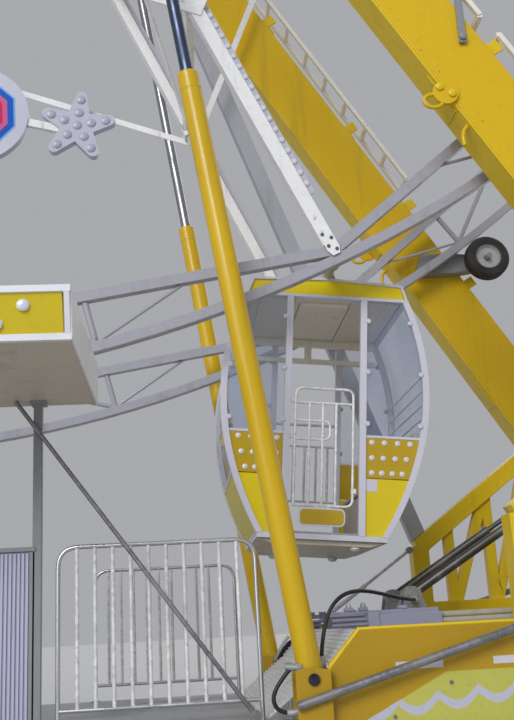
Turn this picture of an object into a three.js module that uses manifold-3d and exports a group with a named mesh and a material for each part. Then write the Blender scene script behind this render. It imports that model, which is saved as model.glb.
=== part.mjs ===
// Trailer mounted ferris wheel with twelve closed cabins.
// Millimetres, +Z up. The origin is on the ground under the hub, +X runs along the trailer towards
// the foot of the masts, and the wheel's axle lies along Y. The boarding side is -Y.
import * as THREE from 'three';
import { mergeVertices } from 'three/addons/utils/BufferGeometryUtils.js';
import Module from 'manifold-3d';

const wasm = await Module();
wasm.setup();

// Wheel
const BAYS = 12;
const BAY = 2 * Math.PI / BAYS;
const HUB_Z = 13600;
const JOINT_R = 10270;
const REST_ANGLE = 24.6 * Math.PI / 180; // first joint, from the bottom towards +X
const PLANE_Y = 1020; // middle of a rim and its spokes
const RING_R = JOINT_R + 30;
const RIM_TUBE = 80;
const CHORD_R = JOINT_R - 40;
const POST_PLACES = [0.35, 0.65];
const SPOKE_W = 110;
const SPOKE_D = 100;
const CROSS_RADII = [2200, 4100, 6000, 7850];
const CROSS_TUBE = 80;
const HUB_APOTHEM = 420;
const HUB_HALF = 1100;
const SHAFT_R = 150;
const TIE_W = 60;
const TIE_T = 12;
const TIE_OUTER_R = 8010;
const TIE_INNER_R = 5960;

// Cabins, measured down from the axle they hang on
const CABIN_HALF_Y = 640;
const FIRST_LEAN = 5.3 * Math.PI / 180; // the lowest right cabin hangs out of plumb, loaded to one side
const CABIN_SIDE = [
  [575, -62], [612, -155], [742, -510], [785, -920], [728, -1380], [478, -2000],
];
const ROOF_CROWN = -28;
const CEILING = -120;
const FLOOR = -1985;
const BAND_BOTTOM = -2035;
const BELLY = [360, -2100];
const WALL = 36;
const END_WALL = 28;
const DOOR_HALF = 260;
const DOOR_POST = 52;
const DOOR_TOP = -165;
const SILL = -1255;
const SEAT_EDGE = 330;
const SEAT_TOP = -1600;
const SEAT_T = 40;
const AXLE_R = 35;
const AXLE_HALF = 979.4;

// Masts, lift cylinders and drive
const MAST_Y = 1375;
const MAST_HALF = 140;
const MAST_LEAN = 31.4 * Math.PI / 180;
const MAST_EDGE = [4658, 6054]; // a point on the mast's lower edge
const MAST_DEPTH_FOOT = 520;
const MAST_DEPTH_HEAD = 430;
const LIFT_Y = 1400;
const LIFT_FOOT = [3846, 1338];
const BARREL_TOP = [3224, 5557];
const BARREL_R = 90;
const ROD_R = 55;
const TYRE_R = 215;
const TYRE_W = 150;
const TYRE_ANGLE = 35.6 * Math.PI / 180;

// Trailer and platform
const SEAT_GAP = 0.3;
const CHASSIS_X = [-6500, 8600];
const CHASSIS_Z = [700, 1050];
const DECK_X = [-4200, 3950];
const DECK_TOP = 1100;
const DECK_HALF_Y = 1400;
const BODY_TOP = 1610;
const PANEL_LOW = 940;
const FRONT_CORNER = [3950, 1392]; // where the slanted front of the trailer body starts
const SLANT_TOP = 4157;
const AXLE_Z = 425;
const WHEEL_R = 400;
const RAMP_FOOT = 3560;
const RAMP_HALF_Y = 1280;
const RAM_Y = 330;
const RAM_CHEEK = 75;
const RAM_FOOT = [4815, 1827];
const RAM_HEAD = [6290, 2727];
const OUTRIGGER_X = [-5900, 8100];
const OUTRIGGER_Y = 3250;
const PAD = 600;
const FENCE_Y = 1320;
const FENCE_X = [2275, 3560];
const FENCE_Z = [1231, 2211];
const FENCE_TUBE = 38;
const FENCE_BAR = 20;
const CANOPY_X = 2550;
const CANOPY_Y = [-2860, -1250];
const CANOPY_Z = [3140, 3420];

// Hydraulic hoses, each along points from its first fitting to its second
const HOSE_R = 13;
const RAMP_HOSE = [
  [3931, -1295, 1400.3], [3931, -1295, 1450], [3940, -1298, 1530], [3962, -1298, 1630], [3998, -1290, 1725],
  [4050, -1270, 1792], [4118, -1235, 1835], [4200, -1180, 1853], [4300, -1095, 1850], [4405, -990, 1834],
  [4510, -865, 1815], [4605, -735, 1800], [4685, -615, 1793], [4735, -530, 1792], [4755, -470, 1792],
  [4755, -415.3, 1792],
];
const FOOT_HOSE = [
  [3741.7, -1460, 1412], [3722, -1460, 1412], [3690, -1460, 1385], [3655, -1460, 1345], [3622, -1460, 1300],
  [3602, -1460, 1255], [3602, -1460, 1215], [3622, -1460, 1180], [3658, -1460, 1160], [3700, -1460, 1155],
  [3739.7, -1460, 1155],
];

const COLOURS = {
  yellow: [0xf2b90c, 0.45, 0.1],
  white: [0xe4e6ea, 0.5, 0.1],
  grey: [0x9a9ea6, 0.5, 0.4],
  galvanised: [0xb9bec4, 0.4, 0.8],
  steel: [0x4a5563, 0.2, 0.9],
  black: [0x1b1b1c, 0.85, 0],
};

// Solid helpers

function solid(geometry) {
  const bare = geometry.clone();
  bare.deleteAttribute('normal');
  bare.deleteAttribute('uv');
  const merged = mergeVertices(bare, 1e-3);
  return new wasm.Manifold(new wasm.Mesh({
    numProp: 3,
    vertProperties: Float32Array.from(merged.attributes.position.array),
    triVerts: Uint32Array.from(merged.index.array),
  }));
}

function surface(body) {
  const mesh = body.getMesh();
  const geometry = new THREE.BufferGeometry();
  geometry.setAttribute('position', new THREE.BufferAttribute(mesh.vertProperties, 3));
  geometry.setIndex(new THREE.BufferAttribute(mesh.triVerts, 1));
  geometry.computeVertexNormals();
  return geometry;
}

function fuse(...bodies) {
  return bodies.flat().reduce((whole, next) => whole.add(next));
}

function box(x0, x1, y0, y1, z0, z1) {
  const geometry = new THREE.BoxGeometry(x1 - x0, y1 - y0, z1 - z0);
  return solid(geometry.translate((x0 + x1) / 2, (y0 + y1) / 2, (z0 + z1) / 2));
}

// A flat outline in X and Z, thick from y0 to y1
function plate(points, y0, y1, holes = []) {
  const shape = new THREE.Shape(points.map(([x, z]) => new THREE.Vector2(x, z)));
  for (const hole of holes) {
    shape.holes.push(new THREE.Path(hole.map(([x, z]) => new THREE.Vector2(x, z))));
  }
  const geometry = new THREE.ExtrudeGeometry(shape, { depth: y1 - y0, bevelEnabled: false });
  return solid(geometry.rotateX(Math.PI / 2).translate(0, y1, 0));
}

// A straight flat-sided bar between two points of the X-Z plane
function bar([ax, az], [bx, bz], width, y0, y1) {
  const length = Math.hypot(bx - ax, bz - az);
  const nx = -(bz - az) / length * width / 2;
  const nz = (bx - ax) / length * width / 2;
  return plate([[ax - nx, az - nz], [bx - nx, bz - nz], [bx + nx, bz + nz], [ax + nx, az + nz]], y0, y1);
}

function roundBar(from, to, radius, sides) {
  const a = new THREE.Vector3(...from);
  const b = new THREE.Vector3(...to);
  const geometry = new THREE.CylinderGeometry(radius, radius, a.distanceTo(b), sides);
  const turn = new THREE.Quaternion().setFromUnitVectors(new THREE.Vector3(0, 1, 0), b.clone().sub(a).normalize());
  geometry.applyQuaternion(turn);
  const middle = a.add(b).multiplyScalar(0.5);
  return solid(geometry.translate(middle.x, middle.y, middle.z));
}

// A point at a radius and an angle from the bottom towards +X, seen from the hub
function polar(radius, angle) {
  return [radius * Math.sin(angle), -radius * Math.cos(angle)];
}

function ringOutline(radius, sides) {
  return Array.from({ length: sides }, (_, i) => polar(radius, i * 2 * Math.PI / sides));
}

function along([ax, az], [bx, bz], share) {
  return [ax + (bx - ax) * share, az + (bz - az) * share];
}

const wheel = new THREE.Group();

function addNode(name, body, [colour, roughness, metalness], place = [0, 0, 0], turn = 0) {
  const material = new THREE.MeshStandardMaterial({ color: colour, roughness, metalness });
  const mesh = new THREE.Mesh(surface(body), material);
  mesh.name = name;
  mesh.position.set(...place);
  mesh.rotation.y = turn;
  wheel.add(mesh);
}

// Both sides of the machine carry the same piece: side is -1 at the boarding side
const SIDES = [['front', -1], ['back', 1]];

function sideRange(side, near, far) {
  return side < 0 ? [-far, -near] : [near, far];
}

// Rims: a rolled ring, a twelve sided inner chord and the posts between them

function makeRim() {
  const half = RIM_TUBE / 2;
  const segments = 4 * BAYS;
  const chordStep = half / Math.cos(BAY / 2);
  const ring = plate(ringOutline(RING_R + half, segments), -half, half, [ringOutline(RING_R - half, segments)]);
  const chord = plate(ringOutline(CHORD_R + chordStep, BAYS), 2 - half, half - 2,
    [ringOutline(CHORD_R - chordStep, BAYS)]);
  const posts = [];
  for (let bay = 0; bay < BAYS; bay += 1) {
    const ends = [polar(CHORD_R, bay * BAY), polar(CHORD_R, (bay + 1) * BAY)];
    for (const place of POST_PLACES) {
      const foot = along(...ends, place);
      const reach = RING_R / Math.hypot(...foot);
      posts.push(bar(foot, [foot[0] * reach, foot[1] * reach], 50, -25, 25));
    }
  }
  return fuse(ring, chord, posts);
}

for (const [word, side] of SIDES) {
  addNode(`rim_${word}`, makeRim(), COLOURS.white, [0, side * PLANE_Y, HUB_Z], -REST_ANGLE);
}

// Hub and spokes: each pair of spokes with its cross tubes is one flat welded frame

const rimInner = CHORD_R - RIM_TUBE / 2 / Math.cos(BAY / 2);
const spokeEnd = rimInner - SPOKE_W / 2 * Math.tan(BAY / 2) - SEAT_GAP;

function makeHub() {
  const corner = HUB_APOTHEM / Math.cos(BAY / 2);
  const outline = Array.from({ length: BAYS }, (_, i) => polar(corner, (i + 0.5) * BAY));
  return plate(outline, -HUB_HALF, HUB_HALF, [ringOutline(SHAFT_R + 2, 24)]);
}

function makeSpokeFrame() {
  const half = SPOKE_W / 2;
  const legs = [-1, 1].map((side) => box(-half, half, side * PLANE_Y - SPOKE_D / 2,
    side * PLANE_Y + SPOKE_D / 2, -spokeEnd, -HUB_APOTHEM - SEAT_GAP));
  const tube = CROSS_TUBE / 2;
  const crosses = CROSS_RADII.map((r) => box(-tube, tube, -PLANE_Y, PLANE_Y, -r - tube, -r + tube));
  return fuse(legs, crosses);
}

addNode('hub', makeHub(), COLOURS.yellow, [0, 0, HUB_Z], -REST_ANGLE);
for (let bay = 0; bay < BAYS; bay += 1) {
  const name = `spoke_frame_${String(bay + 1).padStart(2, '0')}`;
  addNode(name, makeSpokeFrame(), COLOURS.white, [0, 0, HUB_Z], -REST_ANGLE - bay * BAY);
}

// Ties: flat bars that zigzag from spoke to spoke on the outer face of each wheel side

function makeTies() {
  const bars = [];
  for (let bay = 0; bay < BAYS; bay += 1) {
    const even = bay % 2 === 0;
    const from = polar(even ? TIE_OUTER_R : TIE_INNER_R, bay * BAY);
    const to = polar(even ? TIE_INNER_R : TIE_OUTER_R, (bay + 1) * BAY);
    const over = TIE_W / 2 / Math.hypot(to[0] - from[0], to[1] - from[1]);
    bars.push(bar(along(from, to, -over), along(from, to, 1 + over), TIE_W, -TIE_T / 2, TIE_T / 2));
  }
  return fuse(bars);
}

for (const [word, side] of SIDES) {
  const y = side * (PLANE_Y + SPOKE_D / 2 + SEAT_GAP + TIE_T / 2);
  addNode(`ties_${word}`, makeTies(), COLOURS.white, [0, y, HUB_Z], -REST_ANGLE);
}

// Cabins: a barrel sided shell with an axle, door opening, windows and two benches

function sideAt(z) {
  const next = CABIN_SIDE.findIndex(([, level]) => level <= z);
  const [w0, z0] = CABIN_SIDE[Math.max(next - 1, 0)];
  const [w1, z1] = CABIN_SIDE[Math.max(next, 1)];
  return w0 + (w1 - w0) * (z - z0) / (z1 - z0);
}

// Levels of the side's curve between two heights, with both ends
function levels(top, bottom) {
  const between = CABIN_SIDE.map(([, z]) => z).filter((z) => z < top - 20 && z > bottom + 20);
  return [top, ...between, bottom];
}

function mirrored(half) {
  return [...half, ...half.filter(([x]) => x > 0).reverse().map(([x, z]) => [-x, z])];
}

function windowOutline(side, inner, edge) {
  const outer = levels(-190, SILL).map((z) => [side * (sideAt(z) - edge), z]);
  return [[side * inner, -190], ...outer, [side * inner, SILL]];
}

function makeGateBars(left, right, heights) {
  const y0 = -CABIN_HALF_Y;
  const y1 = y0 + 25;
  const rails = heights.map((z) => box(left, right, y0, y1, z - 12, z + 12));
  const stiles = [left + 12, right - 12].map((x) => box(x - 12, x + 12, y0, y1, -1797, -893));
  const plateArm = box(-60, 40, y0 + 4, y1 - 4, -1810, -1790);
  const kick = box(-181, 162, y0, y1 - 6, -1930, -1805);
  return fuse(rails, stiles, plateArm, kick);
}

function makeCabinShell() {
  const y = CABIN_HALF_Y;
  const outline = mirrored([[0, ROOF_CROWN], ...CABIN_SIDE, [478, BAND_BOTTOM], BELLY]);
  const inside = levels(CEILING, FLOOR).map((z) => [sideAt(z) - WALL, z]);
  const room = plate(mirrored(inside), -y + END_WALL, y - END_WALL);
  const post = DOOR_HALF + DOOR_POST;
  const cuts = [box(-DOOR_HALF, DOOR_HALF, -y - 10, -y + 40, FLOOR + 5, DOOR_TOP)];
  cuts.push(box(-DOOR_HALF, DOOR_HALF, y - 40, y + 10, SILL, -190));
  for (const side of [-1, 1]) {
    cuts.push(plate(windowOutline(side, post, 62), -y - 10, y + 10));
  }
  cuts.push(box(-900, 900, -y + 80, y - 80, SILL + 40, -215));
  const shell = plate(outline, -y, y).subtract(room).subtract(fuse(cuts));
  const benches = [-1, 1].map((side) => {
    const wall = sideAt(SEAT_TOP) - WALL / 2;
    const [x0, x1] = side < 0 ? [-wall, -SEAT_EDGE] : [SEAT_EDGE, wall];
    return box(x0, x1, -y + END_WALL / 2, y - END_WALL / 2, SEAT_TOP - SEAT_T, SEAT_TOP);
  });
  const axle = roundBar([0, -AXLE_HALF, 0], [0, AXLE_HALF, 0], AXLE_R, 8);
  const saddles = [-1, 1].map((side) => box(-70, 70, side * 590 - 50, side * 590 + 50, -60, 10));
  return fuse(shell, benches, axle, saddles);
}

const GATE_LEFT = -232;
const GATE_RIGHT = 225;
const GATE_PIN = [-246, -627.5];
const shellOnly = makeCabinShell();
const closedGate = fuse(makeGateBars(GATE_LEFT, GATE_RIGHT, [-905, -1785]),
  [-1000, -1270].map((z) => box(-DOOR_HALF - 5, GATE_LEFT + 5, -635, -620, z - 15, z + 15)),
  box(GATE_RIGHT - 5, DOOR_HALF + 5, -635, -620, -1690, -1650));

for (let bay = 0; bay < BAYS; bay += 1) {
  const [x, z] = polar(JOINT_R, REST_ANGLE + bay * BAY);
  const body = bay === 0 ? shellOnly : fuse(shellOnly, closedGate);
  const lean = bay === 0 ? FIRST_LEAN : 0;
  addNode(`cabin_${String(bay + 1).padStart(2, '0')}`, body, COLOURS.yellow, [x, 0, HUB_Z + z], lean);
}

function makeGate() {
  const knuckles = [-1000, -1270].map((z) => {
    const pin = roundBar([...GATE_PIN, z - 15], [...GATE_PIN, z + 15], 13.3, 12);
    return fuse(pin, box(GATE_PIN[0], GATE_LEFT + 5, -633, -622, z - 15, z + 15));
  });
  return fuse(makeGateBars(GATE_LEFT, GATE_RIGHT, [-905, -1020, -1785]), knuckles);
}

const [gateX, gateZ] = polar(JOINT_R, REST_ANGLE);
addNode('gate_01', makeGate(), COLOURS.galvanised, [gateX, 0, HUB_Z + gateZ], FIRST_LEAN);

// Masts: leaning box girders with a head that holds the hub shaft

function mastEdge(z, offset) {
  return [MAST_EDGE[0] - (z - MAST_EDGE[1]) * Math.tan(MAST_LEAN) + offset / Math.cos(MAST_LEAN), z];
}

function makeMast(side) {
  const foot = BODY_TOP + SEAT_GAP;
  const outline = [
    mastEdge(foot, 0), mastEdge(foot, MAST_DEPTH_FOOT), mastEdge(HUB_Z + 400, MAST_DEPTH_HEAD),
    [-250, HUB_Z + 400], [-340, HUB_Z + 230], [-340, HUB_Z - 260], mastEdge(HUB_Z - 620, 0),
  ];
  return plate(outline, ...sideRange(side, MAST_Y - MAST_HALF, MAST_Y + MAST_HALF));
}

// What is left of a body below the masts' lower edge
function belowMast(body) {
  const reach = 2000;
  const low = mastEdge(0, -SEAT_GAP);
  const high = mastEdge(HUB_Z, -SEAT_GAP);
  return body.subtract(plate([low, [low[0] + reach, low[1]], [high[0] + reach, high[1]], high], -3000, 3000));
}

for (const [word, side] of SIDES) {
  addNode(`mast_${word}`, makeMast(side), COLOURS.yellow);
}
const shaftHalf = MAST_Y - MAST_HALF - SEAT_GAP;
addNode('hub_shaft', roundBar([0, -shaftHalf, HUB_Z], [0, shaftHalf, HUB_Z], SHAFT_R, 24), COLOURS.steel);

// Lift cylinders: a foot bracket on the deck's edge, a barrel, and a rod up to the mast

const liftRun = Math.hypot(BARREL_TOP[0] - LIFT_FOOT[0], BARREL_TOP[1] - LIFT_FOOT[1]);
const liftWay = [(BARREL_TOP[0] - LIFT_FOOT[0]) / liftRun, (BARREL_TOP[1] - LIFT_FOOT[1]) / liftRun];

function liftPoint(distance, y) {
  return [LIFT_FOOT[0] + liftWay[0] * distance, y, LIFT_FOOT[1] + liftWay[1] * distance];
}

for (const [word, side] of SIDES) {
  const y = side * LIFT_Y;
  const cheeks = [-1, 1].map((way) => box(LIFT_FOOT[0] - 110, LIFT_FOOT[0] + 60,
    y + way * 100 - 9, y + way * 100 + 9, DECK_TOP + SEAT_GAP, LIFT_FOOT[1] + 110));
  const base = box(LIFT_FOOT[0] - 110, LIFT_FOOT[0] + 60, y - 109, y + 109, DECK_TOP + SEAT_GAP, DECK_TOP + 30);
  const pin = roundBar([LIFT_FOOT[0], y - 118, LIFT_FOOT[1]], [LIFT_FOOT[0], y + 118, LIFT_FOOT[1]], 40, 12);
  const barrel = roundBar(liftPoint(0, y), liftPoint(liftRun, y), BARREL_R, 16);
  const [port, end] = [FOOT_HOSE[0], FOOT_HOSE.at(-1)];
  const fittings = [
    box(port[0] + SEAT_GAP, port[0] + 60, port[1] - 16, port[1] + 16, port[2] - 16, port[2] + 16),
    box(end[0] + SEAT_GAP, end[0] + 40, end[1] - 18, end[1] + 18, DECK_TOP + 20, end[2] + 18),
  ];
  const parts = [barrel, base, ...cheeks, pin, ...(side < 0 ? fittings : [])];
  addNode(`lift_cylinder_${word}`, fuse(parts), COLOURS.yellow);
  const rod = roundBar(liftPoint(liftRun + SEAT_GAP, y), liftPoint(liftRun + 5000, y), ROD_R, 16);
  addNode(`lift_rod_${word}`, belowMast(rod), COLOURS.steel);
}

// Base frames: sloping lattice that backs up the foot of each mast

const FRAME_FOOT = [5200, 2236];
const FRAME_SLOPE = 0.7226;
const FRAME_CHORD = 150;
const FRAME_Y = [1270, 1450];

function frameTop(x, lift = 0) {
  return [x, FRAME_FOOT[1] + (x - FRAME_FOOT[0]) * FRAME_SLOPE + lift * Math.hypot(1, FRAME_SLOPE)];
}

function makeBaseFrame(side) {
  const [y0, y1] = sideRange(side, ...FRAME_Y);
  const low = BODY_TOP + SEAT_GAP + 90;
  const post = FRAME_FOOT[0] + FRAME_CHORD / 2;
  const bars = [
    bar([FRAME_FOOT[0], low], [7600, low], 180, y0, y1),
    bar(frameTop(FRAME_FOOT[0] + 60), frameTop(6900), FRAME_CHORD, y0, y1),
    bar([post, low], frameTop(post), FRAME_CHORD, y0, y1),
  ];
  for (const [foot, head] of [[5560, 5560], [5560, 5950], [5950, 5950], [5950, 6400], [6400, 6400]]) {
    bars.push(bar([foot, low], frameTop(head), 90, y0 + 40, y1 - 40));
  }
  return belowMast(fuse(bars));
}

for (const [word, side] of SIDES) {
  addNode(`base_frame_${word}`, makeBaseFrame(side), COLOURS.yellow);
}

// The grey strut that locks the back mast, and the tubes along the trailer's sides

function makeBackStrut() {
  const foot = [FRAME_FOOT[0] + 125, FRAME_FOOT[1]];
  const head = [3146, 8535];
  const body = bar(foot, along(foot, head, 1.15), 150, MAST_Y - 60, MAST_Y + 60);
  const seat = FRAME_CHORD / 2 + SEAT_GAP;
  const frame = plate([frameTop(4000, seat), [4000, 0], [7000, 0], frameTop(7000, seat)], 0, 3000);
  return belowMast(body.subtract(frame));
}

addNode('back_strut', makeBackStrut(), COLOURS.grey);

for (const [word, side] of SIDES) {
  const start = [LIFT_FOOT[0] + 60 + SEAT_GAP, 1262];
  const rise = 0.2777;
  const end = [8000, start[1] + (8000 - start[0]) * rise];
  const tube = bar([start[0] - 100, start[1] - 100 * rise], end, 60, ...sideRange(side, 1455, 1505));
  const bracket = box(0, start[0], -3000, 3000, 0, 3000);
  addNode(`side_tube_${word}`, belowMast(tube).subtract(bracket), COLOURS.galvanised);
}

// Drive: a rubber tyre that bears on the outside of each rim, on a bracket from the mast

const tyreRadius = RING_R + RIM_TUBE / 2 + TYRE_R + 5;
const [tyreX, tyreDown] = polar(tyreRadius, TYRE_ANGLE);
const tyreZ = HUB_Z + tyreDown;

function makeTyre() {
  const half = TYRE_W / 2;
  const bore = 28.8;
  const profile = [
    [bore, -half], [TYRE_R - 25, -half], [TYRE_R, -half + 30], [TYRE_R, half - 30], [TYRE_R - 25, half],
    [bore, half], [bore, -half],
  ];
  return solid(new THREE.LatheGeometry(profile.map(([r, h]) => new THREE.Vector2(r, h)), 24));
}

function makeDriveBracket(side) {
  const inner = PLANE_Y + TYRE_W / 2 + 5;
  const [y0, y1] = sideRange(side, inner, MAST_Y - MAST_HALF - SEAT_GAP);
  const arm = plate([
    [tyreX - 700, tyreZ - 110], [tyreX - 300, tyreZ - 110], [tyreX + 20, tyreZ - 60], [tyreX + 60, tyreZ],
    [tyreX + 20, tyreZ + 60], [tyreX - 300, tyreZ + 90], [tyreX - 620, tyreZ + 90],
  ], y0, y1);
  const ends = sideRange(side, PLANE_Y - TYRE_W / 2 + 10, inner + 10);
  return fuse(arm, roundBar([tyreX, ends[0], tyreZ], [tyreX, ends[1], tyreZ], 28, 16));
}

for (const [word, side] of SIDES) {
  addNode(`drive_tyre_${word}`, makeTyre(), COLOURS.black, [tyreX, side * PLANE_Y, tyreZ]);
  addNode(`drive_bracket_${word}`, makeDriveBracket(side), COLOURS.grey);
}

// Trailer: a ladder chassis with outriggers, its axles, decks and side panels

function makeChassis() {
  const [x0, x1] = CHASSIS_X;
  const [z0, z1] = CHASSIS_Z;
  const beams = [-1, 1].map((side) => box(x0, x1, side * 650 - 100, side * 650 + 100, z0, z1));
  const members = [];
  for (let i = 0; i < 9; i += 1) {
    const x = x0 + 60 + i * (x1 - x0 - 120) / 8;
    members.push(box(x - 60, x + 60, -1350, 1350, z0 + 150, z1));
  }
  const outriggers = OUTRIGGER_X.flatMap((x) => [
    box(x - 90, x + 90, -OUTRIGGER_Y, OUTRIGGER_Y, z0 + 40, z1 - 130),
    ...[-1, 1].flatMap((side) => [
      box(x - 80, x + 80, side * OUTRIGGER_Y - 80, side * OUTRIGGER_Y + 80, 40, z1 + 30),
      box(x - PAD / 2, x + PAD / 2, side * OUTRIGGER_Y - PAD / 2, side * OUTRIGGER_Y + PAD / 2, 0, 60),
    ]),
  ]);
  return fuse(beams, members, outriggers);
}

function makeBogie() {
  const top = CHASSIS_Z[0] - SEAT_GAP;
  const hangers = [-1, 1].map((side) => box(4900, 6900, side * 650 - 60, side * 650 + 60, AXLE_Z - 30, top));
  const axles = [5300, 6500].map((x) => fuse(
    roundBar([x, -1150, AXLE_Z], [x, 1150, AXLE_Z], 60, 8),
    [-1, 1].map((side) => roundBar([x, side * 1380, AXLE_Z], [x, side * 960, AXLE_Z], WHEEL_R, 16)),
  ));
  return fuse(hangers, axles);
}

function makeMachineryDeck() {
  const low = CHASSIS_Z[1] + SEAT_GAP;
  const x0 = FRONT_CORNER[0] + SEAT_GAP;
  const x1 = CHASSIS_X[1];
  const skin = [[x0, low], [x0, FRONT_CORNER[1]], [SLANT_TOP, BODY_TOP], [x1, BODY_TOP], [x1, low]];
  const wall = 30;
  const hollow = [
    [x0 + wall, low - 10], [x0 + wall, FRONT_CORNER[1] - 12], [SLANT_TOP + 13, BODY_TOP - wall],
    [x1 - wall, BODY_TOP - wall], [x1 - wall, low - 10],
  ];
  const y = DECK_HALF_Y;
  const shell = plate(skin, -y, y).subtract(plate(hollow, -y + wall, y - wall));
  return fuse(shell, makePumpCabinet(), [-1, 1].map(makeRam), makeRamCrossbar());
}

function makePumpCabinet() {
  return fuse(box(7550, 8500, -1200, 1200, BODY_TOP - 5, 2650), box(7520, 8530, -1230, 1230, 2650, 2690));
}

// A folding ram: two cheeks on the deck, their pin, and the ram up to the crossbar
function makeRam(side) {
  const [x, z] = RAM_FOOT;
  const cheeks = [-RAM_CHEEK, RAM_CHEEK].map((shift) => plate(
    [[x - 140, BODY_TOP - 5], [x + 140, BODY_TOP - 5], [x + 70, z + 60], [x - 60, z + 60]],
    side * RAM_Y + shift - 10, side * RAM_Y + shift + 10,
  ));
  const pin = roundBar([x, side * RAM_Y - RAM_CHEEK, z], [x, side * RAM_Y + RAM_CHEEK, z], 75, 16);
  const tube = roundBar([x, side * RAM_Y, z], [RAM_HEAD[0], side * RAM_Y, RAM_HEAD[1]], 45, 12);
  return fuse(cheeks, pin, tube);
}

function makeRamCrossbar() {
  const reach = FRAME_Y[0] - SEAT_GAP;
  return roundBar([RAM_HEAD[0], -reach, RAM_HEAD[1]], [RAM_HEAD[0], reach, RAM_HEAD[1]], 60, 16);
}

function makeLoadingDeck() {
  const [x0, x1] = DECK_X;
  const y = DECK_HALF_Y;
  const floor = box(x0, x1, -y, y, CHASSIS_Z[1] + SEAT_GAP, DECK_TOP);
  const wedge = [[RAMP_FOOT, DECK_TOP], [RAMP_FOOT, DECK_TOP - 5], [x1, DECK_TOP - 5], FRONT_CORNER];
  const [, hoseY, hoseZ] = RAMP_HOSE[0];
  const fitting = box(x1 - 38, x1, hoseY - 14, hoseY + 20, DECK_TOP - 5, hoseZ - SEAT_GAP);
  return fuse(floor, plate(wedge, -RAMP_HALF_Y, RAMP_HALF_Y), fitting);
}

function makeSidePanel(side) {
  const [x0, x1] = [FRONT_CORNER[0] + 5, CHASSIS_X[1]];
  const outline = [[x0, FRONT_CORNER[1]], [x0, PANEL_LOW], [x1, PANEL_LOW], [x1, BODY_TOP], [SLANT_TOP, BODY_TOP]];
  const [y0, y1] = sideRange(side, DECK_HALF_Y + SEAT_GAP, DECK_HALF_Y + 30);
  return plate(outline, y0, y1);
}

addNode('chassis', makeChassis(), COLOURS.yellow);
addNode('bogie', makeBogie(), COLOURS.black);
addNode('machinery_deck', makeMachineryDeck(), COLOURS.grey);
addNode('loading_deck', makeLoadingDeck(), COLOURS.galvanised);
for (const [word, side] of SIDES) {
  addNode(`side_panel_${word}`, makeSidePanel(side), COLOURS.yellow);
}

// Hoses: smooth runs of one diameter between two fittings

function makeHose(points) {
  const path = new THREE.CatmullRomCurve3(points.map((point) => new THREE.Vector3(...point)), false, 'catmullrom', 0.5);
  const section = new THREE.Shape(ringOutline(HOSE_R, 8).map(([x, y]) => new THREE.Vector2(x, y)));
  return solid(new THREE.ExtrudeGeometry(section, { steps: 40, extrudePath: path, bevelEnabled: false }));
}

addNode('ramp_hose', makeHose(RAMP_HOSE), COLOURS.black);
addNode('foot_hose', makeHose(FOOT_HOSE), COLOURS.black);

// Loading platform: guard fences, the entrance canopy with its counters, and the steps

function makeFence(x0, x1, y) {
  const half = FENCE_TUBE / 2;
  const [low, high] = FENCE_Z;
  const rails = [low, high].map((z) => box(x0, x1, y - half, y + half, z - half, z + half));
  const ends = [x0 + half, x1 - half].map((x) => box(x - half, x + half, y - half, y + half,
    DECK_TOP + SEAT_GAP, high + half));
  const count = Math.round((x1 - x0) / 118);
  const bars = [];
  for (let i = 1; i < count; i += 1) {
    const x = x0 + half + (x1 - x0 - FENCE_TUBE) * i / count;
    bars.push(box(x - FENCE_BAR / 2, x + FENCE_BAR / 2, y - FENCE_BAR / 2, y + FENCE_BAR / 2, low, high));
  }
  return fuse(rails, ends, bars);
}

for (const [word, side] of SIDES) {
  addNode(`fence_${word}_right`, makeFence(FENCE_X[0], FENCE_X[1], side * FENCE_Y), COLOURS.galvanised);
  addNode(`fence_${word}_left`, makeFence(-FENCE_X[1], -FENCE_X[0], side * FENCE_Y), COLOURS.galvanised);
}

function makeCanopy() {
  const roof = box(-CANOPY_X, CANOPY_X, ...CANOPY_Y, ...CANOPY_Z);
  const front = -DECK_HALF_Y;
  const parts = [roof];
  for (const side of [-1, 1]) {
    const post = [side * 2173 - 28, side * 2173 + 28];
    parts.push(box(...post, front, front + 56, DECK_TOP + SEAT_GAP, CANOPY_Z[0] + 5));
    const counter = side < 0 ? [-2150, -1100] : [1100, 2150];
    parts.push(box(...counter, front + 4, front + 44, DECK_TOP + 10, 2218));
    const brace = bar([side * 3500, 1190], [side * 2040, CANOPY_Z[0] + 20], 45, front - 45, front - 0.3);
    parts.push(brace);
  }
  return fuse(parts);
}

function makeSteps() {
  const count = 6;
  const rise = DECK_TOP / count;
  const going = 270;
  const edge = -DECK_HALF_Y - SEAT_GAP;
  const treads = [];
  for (let i = 0; i < count; i += 1) {
    const y1 = edge - i * going;
    treads.push(box(-1090, 1090, y1 - going - 20, y1, DECK_TOP - i * rise - 40, DECK_TOP - i * rise));
  }
  const foot = edge - count * going;
  const stringer = new THREE.Shape([
    [edge, DECK_TOP - 20], [edge, DECK_TOP - 330], [foot + 180, 0], [foot, 0], [foot, rise - 20],
  ].map(([y, z]) => new THREE.Vector2(y, z)));
  const stringers = [-1090, 1060].map((x) => {
    const geometry = new THREE.ExtrudeGeometry(stringer, { depth: 30, bevelEnabled: false });
    return solid(geometry.rotateX(Math.PI / 2).rotateZ(Math.PI / 2).translate(x, 0, 0));
  });
  return fuse(treads, stringers);
}

addNode('entrance_canopy', makeCanopy(), COLOURS.white);
addNode('boarding_steps', makeSteps(), COLOURS.galvanised);

export default wheel;
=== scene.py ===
import math

import bmesh
import bpy
import numpy as np
from mathutils import Matrix, Vector


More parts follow.
